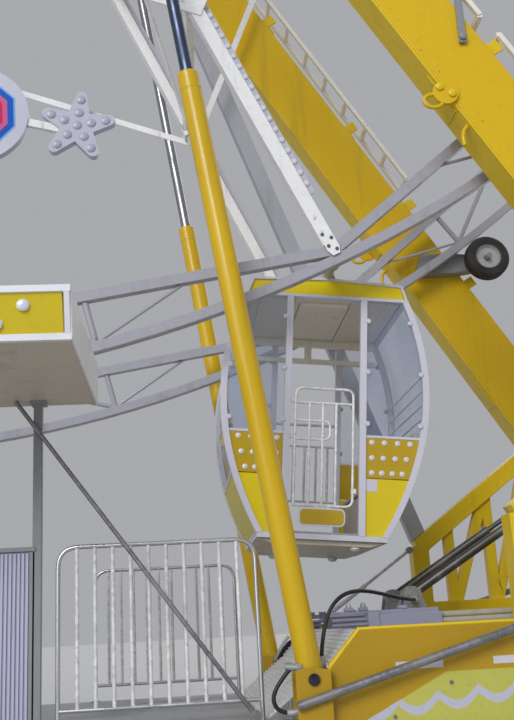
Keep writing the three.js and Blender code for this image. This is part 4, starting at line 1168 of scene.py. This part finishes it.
# Rims: a rolled ring of square tube outside and a straight chord inside from spoke to spoke,
# tied by short posts and diagonals into a light truss.
RING_R, CHORD_R, RIM_Y = 10.3, 10.23, 1.02
RIM_SECTION = ((-0.04, -0.034), (-0.034, -0.04), (0.034, -0.04), (0.04, -0.034),
               (0.04, 0.034), (0.034, 0.04), (-0.034, 0.04), (-0.04, 0.034))
WEB = ((1, 1, 0.025, 12), (3, 3, 0.025, 12), (2, 1, 0.021, 10), (2, 3, 0.021, 10),
       (0, 1, 0.013, 8), (4, 3, 0.013, 8))
LATTICE = (0.38, 0.38, 0.44, 1)
rim_paint = enamel("rim_white", LATTICE, 0.36, 0.6, coat=0.2)


def out_from_hub(radius, angle, y=0.0):
    """A point seen from the hub: angle from straight down towards +X."""
    return Vector((radius * math.sin(angle), y, HUB_Z - radius * math.cos(angle)))


for side_name, side in (("front", -1), ("back", 1)):
    rim_y = RIM_Y * side
    rows = [[out_from_hub(RING_R + r, t, rim_y + d) for r, d in RIM_SECTION] for t in turns(240)]
    ring = Form().skin(rows, ring=True)
    ring_piece = piece(f"rim_ring_{side_name}", ring, rim_paint, "wheel", "white_paint")
    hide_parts(f"rim_{side_name}")
    start, end = out_from_hub(CHORD_R, 0, rim_y), out_from_hub(CHORD_R, BAY, rim_y)
    middle = AXIS + Vector((0, rim_y, 0))
    chord = [start.lerp(end, share) for share in (0.2, 0.35, 0.5, 0.65, 0.8)]
    on_ring = [middle + (p - middle).normalized() * (RING_R - 0.035) for p in chord]
    lattice = Form().bar(start, end, 0.076, 0.076)
    for inner, outer, radius, sides in WEB:
        lattice.tube([chord[inner], on_ring[outer]], radius, sides)
    each_bay(f"rim_lattice_{side_name}", lattice, rim_paint, "white_paint")


# Light boxes on the far ties of every other bay, facing the boarding side: a star with round caps
# and a target disc in blue and red rings, folded from sheet with acrylic faces, joined by an arm.
TIE_OUT, TIE_IN = 8.01, 5.96
BOX_FACE, BOX_BACK = 0.92, 1.0
TIP_R = 0.055
TARGET_RINGS = (("sky", 0.405, 0.002, (0.16, 0.42, 0.86, 1), "light_box_blue"),
                ("blue", 0.385, 0.004, (0.0, 0.10, 0.56, 1), "light_box_blue"),
                ("pink", 0.325, 0.006, (0.62, 0.12, 0.30, 1), "light_box_red"),
                ("red", 0.27, 0.008, (0.62, 0.01, 0.10, 1), "light_box_red"))
box_white = enamel("light_box_white", (0.52, 0.52, 0.66, 1), 0.4, 0.25, coat=0.2)
cap_grey = enamel("star_cap_grey", (0.42, 0.45, 0.56, 1), 0.3, 0.15, coat=0.3)


def star_outline(centre, radius, dent, turn):
    """Five rounded tips and five dents, as (x, z) points clockwise from the first tip."""
    points = []
    for around in turns(5):
        tip, inner = turn + around, turn + around + math.pi / 5
        mid_x = centre.x + (radius - TIP_R) * math.sin(tip)
        mid_z = centre.z + (radius - TIP_R) * math.cos(tip)
        for swing in (-70, -35, 0, 35, 70):
            way = tip + math.radians(swing)
            points.append((mid_x + TIP_R * math.sin(way), mid_z + TIP_R * math.cos(way)))
        points.append((centre.x + dent * math.sin(inner), centre.z + dent * math.cos(inner)))
    return points


def other_bays(name, form, material, slot):
    """Repeats what one bay of the wheel holds in every other bay."""
    in_ring(name, form, 6, AXIS, -REST, -2 * BAY, material, "wheel", slot)


from_spoke, to_spoke = out_from_hub(TIE_OUT, 0), out_from_hub(TIE_IN, -BAY)
tie_way = (to_spoke - from_spoke).normalized()
outward = Vector((-tie_way.z, 0, tie_way.x))
star_foot, target_foot = from_spoke.lerp(to_spoke, 0.274), from_spoke.lerp(to_spoke, 0.507)
star_at, target_at = star_foot + outward * 0.24, target_foot + outward * 0.43
turn = math.radians(8) + REST
boxes, arms, star_caps = Form(), Form(), Form()
for outline in (star_outline(star_at, 0.375, 0.172, turn), circle(target_at, 0.5, 72)):
    boxes.plate(outline, (BOX_FACE, BOX_BACK))
arm_ends = [star_at + outward * 0.06, target_at - outward * 0.04]
arms.bar(*(p + Vector((0, 0.965, 0)) for p in arm_ends), 0.075, 0.05)
for foot in (star_foot, target_foot):
    arms.bar(foot + Vector((0, BOX_BACK, 0)), foot + Vector((0, 1.07, 0)), 0.05, 0.05, (0, 0, 1))
for ring_r, around in ((0, 0), *((ring_r, turn + t) for ring_r in (0.138, 0.28) for t in turns(5))):
    cap_at = (star_at.x + ring_r * math.sin(around), BOX_FACE, star_at.z + ring_r * math.cos(around))
    star_caps.join(cap(cap_at, 0.046, -1, 14))
other_bays("light_boxes", boxes, box_white, "stud_white")
other_bays("light_box_arms", arms, spoke_paint, "white_paint")
other_bays("star_caps", star_caps, cap_grey, "stud_white")
for label, radius, rise, colour, slot in TARGET_RINGS:
    ring = Form().pin(radius, (0.001, -rise), (target_at.x, BOX_FACE, target_at.z), sides=8)
    other_bays(f"target_{label}", ring, enamel(f"acrylic_{label}", colour, 0.6, 0.05, coat=0), slot)


# Drive tyres: a small pneumatic tyre on a silver wheel bears on the rolled ring of each rim. It
# turns on an axle that its grey bracket carries from the mast.
TYRE_ANGLE = math.radians(35.6)
TYRE_HALF = [(0.115, -0.062), (0.15, -0.072), (0.185, -0.072), (0.205, -0.058), (0.2145, -0.04),
             (0.2145, -0.018), (0.209, -0.016), (0.209, -0.010), (0.2148, -0.008)]
WHEEL_HALF = [(0.031, -0.02), (0.06, -0.03), (0.1, -0.034), (0.108, -0.052), (0.121, -0.066), (0.124, -0.062),
              (0.116, -0.04)]
dress(["drive_bracket_front", "drive_bracket_back"], grey, 0.006)
tyre_at = out_from_hub(10.56, TYRE_ANGLE)
for side_name, side in (("front", -1), ("back", 1)):
    middle = tyre_at + Vector((0, RIM_Y * side, 0))
    body = f"drive_tyre_{side_name}"
    tyre = Form().turned(both_walls(TYRE_HALF), middle, "Y", 48)
    tyre_piece = piece(f"drive_tyre_rubber_{side_name}", tyre, black_tyre, body, "tyre_rubber", smooth=30)
    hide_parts(f"drive_tyre_{side_name}")
    wheel = Form().turned(both_walls(WHEEL_HALF), middle, "Y", 40)
    wheel.bolt_circle(middle + Vector((0, 0.031 * side, 0)), 0.072, 5, (0.009, 0.01), (0.005, 0.013), side)
    piece(f"drive_wheel_{side_name}", wheel, silver, body, "wheel_silver", smooth=30)
    axle = Form().pin(0.026, (0.92 * side, 1.1 * side), tyre_at)
    piece(f"drive_axle_{side_name}", axle, steel_bright, "trailer", "rod_steel", 0.002)


# Cabins: twelve closed cars that hang level in the wheel. A white tube frame with bowed sides
# carries yellow panels dotted with white caps, clear sheets, a beige lining and two benches.
JOINT_R = 10.27
BOW = [(-0.062, 0.575), (-0.155, 0.612), (-0.51, 0.742), (-0.92, 0.785), (-1.33, 0.745), (-1.74, 0.610),
       (-2.0, 0.478)]
GOLDEN = (0.50, 0.34, 0.018, 1)
LEMON = (0.72, 0.57, 0.015, 1)
FRAME_WHITE = (0.62, 0.62, 0.72, 1)
SILL_Z, SPLIT_Z, TOP_Z, LOW_RAIL_Z, FLOOR_Z = -1.26, -1.57, -0.182, -2.0, -1.994
DOOR_X, RAIL_Y = 0.262, 0.618
bow_curve = np.polyfit(*zip(*BOW), 4)


def half_width(z):
    """Half the cabin's width at a height, on its smooth bow."""
    return float(np.polyval(bow_curve, z))


def steps_between(top, bottom, count):
    return [top + (bottom - top) * k / count for k in range(count + 1)]


def both_ends(inner, outer):
    """The two spans of y that something takes up in the front and the rear wall."""
    return (-outer, -inner), (inner, outer)


def bowed_strip(top, bottom, count, outer, inner, y):
    """A strip that follows the bow: from outer to inner inside it, between two values of y."""
    strip = Form()
    for side in (-1, 1):
        strip.skin([[(side * (half_width(z) - inset), depth, z) for inset, depth in
                     ((outer, y[0]), (inner, y[0]), (inner, y[1]), (outer, y[1]))]
                    for z in steps_between(top, bottom, count)])
    return strip


def cabin_frame():
    form = Form()
    for y in both_ends(0.592, 0.645):
        middle = sum(y) / 2
        form.join(bowed_strip(TOP_Z + 0.005, LOW_RAIL_Z, 26, -0.004, 0.046, y))
        form.bar((-0.612, middle, TOP_Z), (0.612, middle, TOP_Z), 0.024, 0.06)
        for side in (-1, 1):
            form.block((side * 0.285 - 0.025, side * 0.285 + 0.025), y, (-1.995, TOP_Z))
            form.bar((0, middle, -0.0375), (side * 0.58, middle, -0.062), 0.02, 0.06)
            form.bar((side * 0.575, middle, -0.058), (side * 0.617, middle, TOP_Z), 0.02, 0.058)
            sill = sorted((side * 0.31, side * (half_width(SILL_Z) - 0.03)))
            form.block(sill, (y[0] + 0.012, y[1] - 0.012), (SILL_Z - 0.008, SILL_Z + 0.012))
    for side in (-1, 1):
        for z in (TOP_Z, SPLIT_Z + 0.012, -1.992):
            x = side * (half_width(z) - 0.02)
            form.block(sorted((x - 0.02, x + 0.018)), (-0.6, 0.6), (z - 0.016, z + 0.016))
    form.block((-0.478, 0.478), (-0.64, 0.64), (-2.034, FLOOR_Z))
    form.block((0.308, 0.398), (-0.6305, -0.626), (-1.668, -1.578))
    return form


def cabin_clips():
    """Small clamps that hold the sheets to the frame."""
    form = Form()
    clip = [(0, -0.008), (0.016, -0.008), (0.02, -0.004), (0.02, 0.008), (0, 0.008)]
    for y in (-0.648, 0.648):
        for z in (-0.36, -0.765, -1.165):
            for x in (0.318, half_width(z) - 0.055):
                form.turned(clip, (x, y, z), "Y", 14)
                form.turned(clip, (-x, y, z), "Y", 14)
    return form


def cabin_roof():
    form = Form()
    for y in both_ends(0.612, 0.634):
        form.plate([(0, -0.046), (-0.57, -0.07), (-0.602, TOP_Z), (0.602, TOP_Z), (0.57, -0.07)], y)
    slopes = [(0, -0.034), (-0.575, -0.058), (-0.575, -0.074), (0, -0.05), (0.575, -0.074), (0.575, -0.058)]
    form.plate(slopes, (-0.618, 0.618))
    for side in (-1, 1):
        outline = [(0.571, -0.062), (0.583, -0.06), (0.617, TOP_Z), (0.605, TOP_Z)]
        form.plate([(side * x, z) for x, z in outline][::side], (-0.618, 0.618))
    return form


def end_panels(top, bottom, count, ends):
    """Panels of the end walls between the door posts and the bowed edge."""
    form = Form()
    for y in ends:
        for side in (-1, 1):
            edge = [(side * (half_width(z) - 0.044), z) for z in steps_between(top, bottom, count)]
            outline = [(side * 0.308, top), *edge, (side * 0.308, bottom)]
            form.plate(outline[::side], y)
    return form


def cabin_sheets():
    """Clear polycarbonate: a flat sheet beside each post, and a curved one down each side."""
    form = end_panels(TOP_Z, SILL_Z, 16, both_ends(0.618, 0.622))
    return form.join(bowed_strip(TOP_Z - 0.01, SPLIT_Z + 0.02, 22, 0.008, 0.012, (-0.592, 0.592)))


def cabin_lining():
    """Ceiling with its battens and tray, rear header and wall lining."""
    form = Form()
    form.block((-0.585, 0.585), (-0.6, 0.6), (-0.172, -0.160))
    for batten_x in (-0.5, -0.22, 0.22, 0.5):
        form.block((batten_x - 0.012, batten_x + 0.012), (-0.59, 0.59), (-0.19, -0.172))
    form.block((-0.19, 0.19), (-0.45, 0.42), (-0.196, -0.172))
    for x, low, high in ((0.6, -0.235, -0.172), (0.6, -0.385, -0.345), (0.03, -0.345, -0.235)):
        form.block((-x, x), (0.545, 0.588), (low, high))
    return form.join(bowed_strip(SPLIT_Z + 0.01, -1.98, 10, 0.03, 0.04, (-0.592, 0.592)))


def cabin_belly():
    return Form().plate([(-0.478, -2.034), (-0.36, -2.07), (0.36, -2.07), (0.478, -2.034)], (-0.6, 0.6))


def cabin_walls():
    return bowed_strip(SPLIT_Z, -1.985, 12, 0.002, 0.016, (-0.598, 0.598))


def cabin_benches():
    form = Form()
    for side in (-1, 1):
        wall = half_width(-1.6) - 0.045
        form.block(sorted((0.335 * side, wall * side)), (-0.585, 0.585), (-1.63, -1.6))
        form.block(sorted((0.35 * side, 0.37 * side)), (-0.585, 0.585), (-1.98, -1.63))
        back = [(half_width(z) - (0.05 if z > -1.3 else 0.062), z) for z in steps_between(-1.2, -1.58, 6)]
        outline = back + [(x - 0.035, z) for x, z in back[::-1]]
        form.plate([(side * x, z) for x, z in outline][::side], (-0.58, 0.58))
    return form


def cabin_floor():
    form = Form().block((-0.45, 0.45), (-0.595, 0.595), (FLOOR_Z, -1.984))
    for y in (-0.606, 0.606):
        form.block((-DOOR_X, DOOR_X), (y - 0.02, y + 0.02), (FLOOR_Z, -1.978))
    return form


def cabin_rails():
    """Silver guard bars across the side windows, and the fixed rail in the rear doorway."""
    form = Form()
    for side in (-1, 1):
        for z in (-0.767, -0.877, -0.987, -1.097):
            x = side * (half_width(z) - 0.04)
            form.tube([(x, -0.594, z), (x, 0.594, z)], 0.007, 8)
    for z, radius in ((-0.93, 0.012), (-1.12, 0.01), (-1.6, 0.01)):
        form.tube([(-DOOR_X, RAIL_Y, z), (DOOR_X, RAIL_Y, z)], radius, 10)
    for bar_x in (-0.2, -0.1, 0.0, 0.1, 0.2):
        form.tube([(bar_x, RAIL_Y, -1.12), (bar_x, RAIL_Y, -1.6)], 0.011, 8)
    return form


def cabin_hanger():
    """The axle that the cabin hangs from, its bearing saddles on the roof and its end collars."""
    form = Form().tube([(0, -0.979, 0), (0, 0.979, 0)], 0.035, 24)
    saddle = [(0.07, -0.05), (0.045, 0.012), (0.025, 0.045), (-0.025, 0.045), (-0.045, 0.012), (-0.07, -0.05)]
    for out in (-1, 1):
        form.plate(saddle, (0.59 * out - 0.045, 0.59 * out + 0.045))
        form.pin(0.056, (0.9 * out - 0.03, 0.9 * out + 0.03), (0, 0, 0), bore=0.036)
    return form


def cabin_feet():
    form = Form()
    foot = [(0, -0.03), (0.015, -0.03), (0.032, -0.023), (0.04, -0.012), (0.04, 0), (0, 0)]
    for foot_x in (-0.25, 0.25):
        for foot_y in (-0.55, 0.55):
            form.turned(foot, (foot_x, foot_y, -2.07), "Z", 20)
    return form


def clear_sheet():
    """Scuffed polycarbonate with a cold blue cast, clearer in some patches than in others."""
    finish = Finish("clear_sheet", Metallic=0.0, IOR=1.45, Coat_Roughness=0.03, Coat_Weight=0.3)
    haze = finish.noise(1.6, 5.0, finish.stretched((1.0, 1.0, 0.6)))
    swirl = finish.noise(34.0, 4.0).above(0.52, 0.8)
    finish.drive("Base Color", finish.mixed(haze, (0.14, 0.22, 0.42, 1), (0.34, 0.42, 0.62, 1)))
    finish.drive("Alpha", 0.12 + haze.above(0.4, 0.75) * 0.16 + swirl * 0.06)
    finish.drive("Roughness", 0.06 + swirl * 0.16)
    return finish.material


def gel_coat(name, colour, shine=0.2):
    """Glass fibre panel with a gloss gel coat: even colour, soft ripples, fine dust low down."""
    finish = Finish(name, Metallic=0.0, Coat_Roughness=0.06, IOR=1.36)
    clouds = finish.noise(2.4, 3.0)
    dust = finish.noise(22.0, 4.0).above(0.5, 0.8)
    tinted = finish.mixed(dust * 0.14, finish.shaded(colour, 0.08, clouds), (0.3, 0.26, 0.18, 1))
    finish.drive("Base Color", tinted)
    finish.drive("Roughness", shine + dust * 0.2 + clouds * 0.05)
    finish.drive("Coat Weight", 0.2 - dust * 0.15)
    finish.bumped(finish.noise(5.0, 1.0), 0.001, 0.15)
    return finish.material


frame_white = enamel("cabin_frame_white", FRAME_WHITE, 0.3, 0.2, coat=0.3)
lemon, golden = gel_coat("cabin_lemon", LEMON), gel_coat("cabin_golden", GOLDEN)
roof_yellow = gel_coat("cabin_roof_yellow", (0.76, 0.6, 0.01, 1))
wall_lemon = gel_coat("side_wall_lemon", LEMON, 0.55)
# The beige of the belly and benches and the white of the ceiling lining are their own colours raised in tone.
# The extra is painted light, for light from below that no lamp here gives.
bench_beige_with_painted_light = enamel("bench_beige_with_painted_light", (0.52, 0.47, 0.38, 1), 0.5, 0.4, coat=0.1)
ceiling_white_with_painted_light = enamel("lining_white_with_painted_light", (0.86, 0.82, 0.73, 1), 0.5, 0.3, coat=0.05)
FIRST_STUD = (0.355, -1.302)
white_caps = cabin_feet()
for out in (-1, 1):
    for stud_z in (FIRST_STUD[1], -1.418, -1.529):
        for stud_x in (FIRST_STUD[0], 0.449, 0.548, 0.642):
            share = (stud_x - FIRST_STUD[0]) / 0.287
            x = stud_x + (half_width(stud_z) - half_width(FIRST_STUD[1])) * share
            for side in (-1, 1):
                white_caps.join(cap((side * x, 0.628 * out, stud_z), 0.021, out, 12, 0.5))
upper, lower = (SILL_Z - 0.006, SPLIT_Z + 0.003, 6), (SPLIT_Z - 0.003, FLOOR_Z, 8)
panel_ends = both_ends(0.604, 0.628)
cabin_parts = [
    ("frame", cabin_frame(), frame_white, "white_paint", 0.005),
    ("clips", cabin_clips(), frame_white, "white_paint", 0.003),
    ("roof", cabin_roof(), roof_yellow, "cabin_yellow", 0.003),
    ("stud_panels", end_panels(*upper, panel_ends), golden, "orange_panel", 0.003),
    ("lower_panels", end_panels(*lower, panel_ends), lemon, "cabin_yellow", 0.003),
    ("side_walls", cabin_walls(), wall_lemon, "cabin_yellow", 0.0),
    ("sheets", cabin_sheets(), clear_sheet(), "window_sheet", 0.0),
    ("lining", cabin_lining(), ceiling_white_with_painted_light, "beige_lining", 0.003),
    ("belly", cabin_belly(), bench_beige_with_painted_light, "beige_lining", 0.004),
    ("benches", cabin_benches(), bench_beige_with_painted_light, "beige_lining", 0.008),
    ("floor", cabin_floor(), tread, "galvanised_steel", 0.0),
    ("rails", cabin_rails(), bar_steel, "galvanised_steel", 0.0),
    ("hanger", cabin_hanger(), zinc, "galvanised_steel", 0.002),
    ("studs", white_caps, caps, "stud_white", 0.0),
]


# Gates: bent steel tube on two lift off hinges, with upright bars, a handle loop, a latch and a
# small yellow plate with a white edge below. The first one swings, the others are fixed shut.
GATE_Y, GATE_TOP, GATE_FOOT, GATE_BAR = -0.6275, -0.911, -1.79, -1.023
GATE_X = (-0.222, 0.213)
TUBE_R = 0.0105
FIRST_LEAN = math.radians(5.3)  # the lowest right cabin hangs out of plumb, loaded to one side


def gate_tubes():
    form = Form()
    left, right = GATE_X
    hoop = [(left, GATE_FOOT), (left, GATE_TOP), (right, GATE_TOP), (right, GATE_FOOT), (left, GATE_FOOT)]
    loop = [(left, -1.16), (0.04, -1.16), (0.04, -1.3), (left, -1.3)]
    form.tube(rounded([(x, GATE_Y, z) for x, z in hoop], 0.06), TUBE_R, 12)
    form.tube(rounded([(x, GATE_Y, z) for x, z in loop], 0.05), 0.009, 10)
    form.tube([(left, GATE_Y, GATE_BAR), (right, GATE_Y, GATE_BAR)], TUBE_R, 10)
    for bar_x in (-0.115, -0.015, 0.085):
        form.tube([(bar_x, GATE_Y, GATE_BAR), (bar_x, GATE_Y, GATE_FOOT)], TUBE_R, 10)
    for hinge_z in (-1.01, -1.28):
        form.pin(0.0131, (hinge_z - 0.015, hinge_z + 0.015), (-0.246, GATE_Y, 0), "Z", 16)
        form.block((-0.246, -0.225), (-0.632, -0.623), (hinge_z - 0.012, hinge_z + 0.012))
    form.block((0.2, 0.238), (-0.642, -0.618), (-1.69, -1.655))
    form.block((-0.07, 0.05), (-0.633, -0.622), (-1.822, -1.792))
    return form


def plate_outline(x, z, corner):
    """A rectangle of (x, z) points with rounded corners, between two values on each axis."""
    points = []
    corners = [(x[1] - corner, z[1] - corner), (x[0] + corner, z[1] - corner),
               (x[0] + corner, z[0] + corner), (x[1] - corner, z[0] + corner)]
    for quarter, (corner_x, corner_z) in enumerate(corners):
        for k in range(6):
            t = math.pi / 2 * (quarter + k / 5)
            points.append((corner_x + corner * math.cos(t), corner_z + corner * math.sin(t)))
    return points


gate_plate = Form().plate(plate_outline((-0.169, 0.150), (-1.925, -1.817), 0.03), (-0.639, -0.631))
gate_rim = Form().plate(plate_outline((-0.181, 0.162), (-1.937, -1.805), 0.04), (-0.635, -0.627))
gate_parts = [
    ("gate_tubes", gate_tubes(), bar_steel, "galvanised_steel", 0.0),
    ("gate_plate", gate_plate, golden, "cabin_yellow", 0.002),
    ("gate_plate_rim", gate_rim, frame_white, "white_paint", 0.002),
]
for number in range(12):
    joint = out_from_hub(JOINT_R, REST + BAY * number)
    car = f"cabin_{number + 1:02d}"
    lean, gate_body = (FIRST_LEAN, "gate_01") if number == 0 else (0, car)
    for label, form, finish, slot, rounding in cabin_parts + gate_parts:
        body = gate_body if label.startswith("gate") else car
        hung = form.leaned(lean).moved(joint.x, 0, joint.z)
        made = piece(f"{car}_{label}", hung, finish, body, slot, rounding)
        if label == "frame":
            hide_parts(car)
        elif label == "gate_tubes" and number == 0:
            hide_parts("gate_01")


# Studio: a pale matt floor and an even pale surround. One soft sun shines from the boarding side,
# a low one on what stands upright, and a wide one from behind.
def pale_floor():
    finish = Finish("pale_floor", Metallic=0.0)
    grain = finish.noise(0.6, 4.0)
    finish.drive("Base Color", finish.shaded((0.62, 0.62, 0.61, 1), 0.02, grain))
    finish.drive("Roughness", 0.8 + grain * 0.05)
    return finish.material


ground = Form().turned([(0, -0.02), (140.0, -0.02), (140.0, 0), (0, 0)], (0, 0, -0.002), "Z", 96)
piece("studio_floor", ground, pale_floor(), None, None)
world = bpy.data.worlds.new("studio")
bpy.context.scene.world = world
world.use_nodes = True
surround = world.node_tree.nodes["Background"]
surround.inputs["Color"].default_value = (0.78, 0.80, 0.84, 1)
surround.inputs["Strength"].default_value = 0.5
bpy.context.scene.view_settings.view_transform = "Standard"


def studio_sun(name, power, aim, spread):
    """A sun that shines along aim, as wide as its spread in degrees."""
    sun = bpy.data.lights.new(name, "SUN")
    sun.energy = power
    sun.angle = math.radians(spread)
    holder = bpy.data.objects.new(name, sun)
    holder.rotation_mode = "QUATERNION"
    holder.rotation_quaternion = Vector(aim).to_track_quat("-Z", "Y")
    holder.visible_camera = False
    bpy.context.scene.collection.objects.link(holder)


studio_sun("key", 1.4, (0.35, 0.8, -0.45), 25)
studio_sun("fill", 0.7, (-0.5, -0.6, -0.5), 60)
studio_sun("low", 0.55, (0.6, 0.75, -0.12), 35)
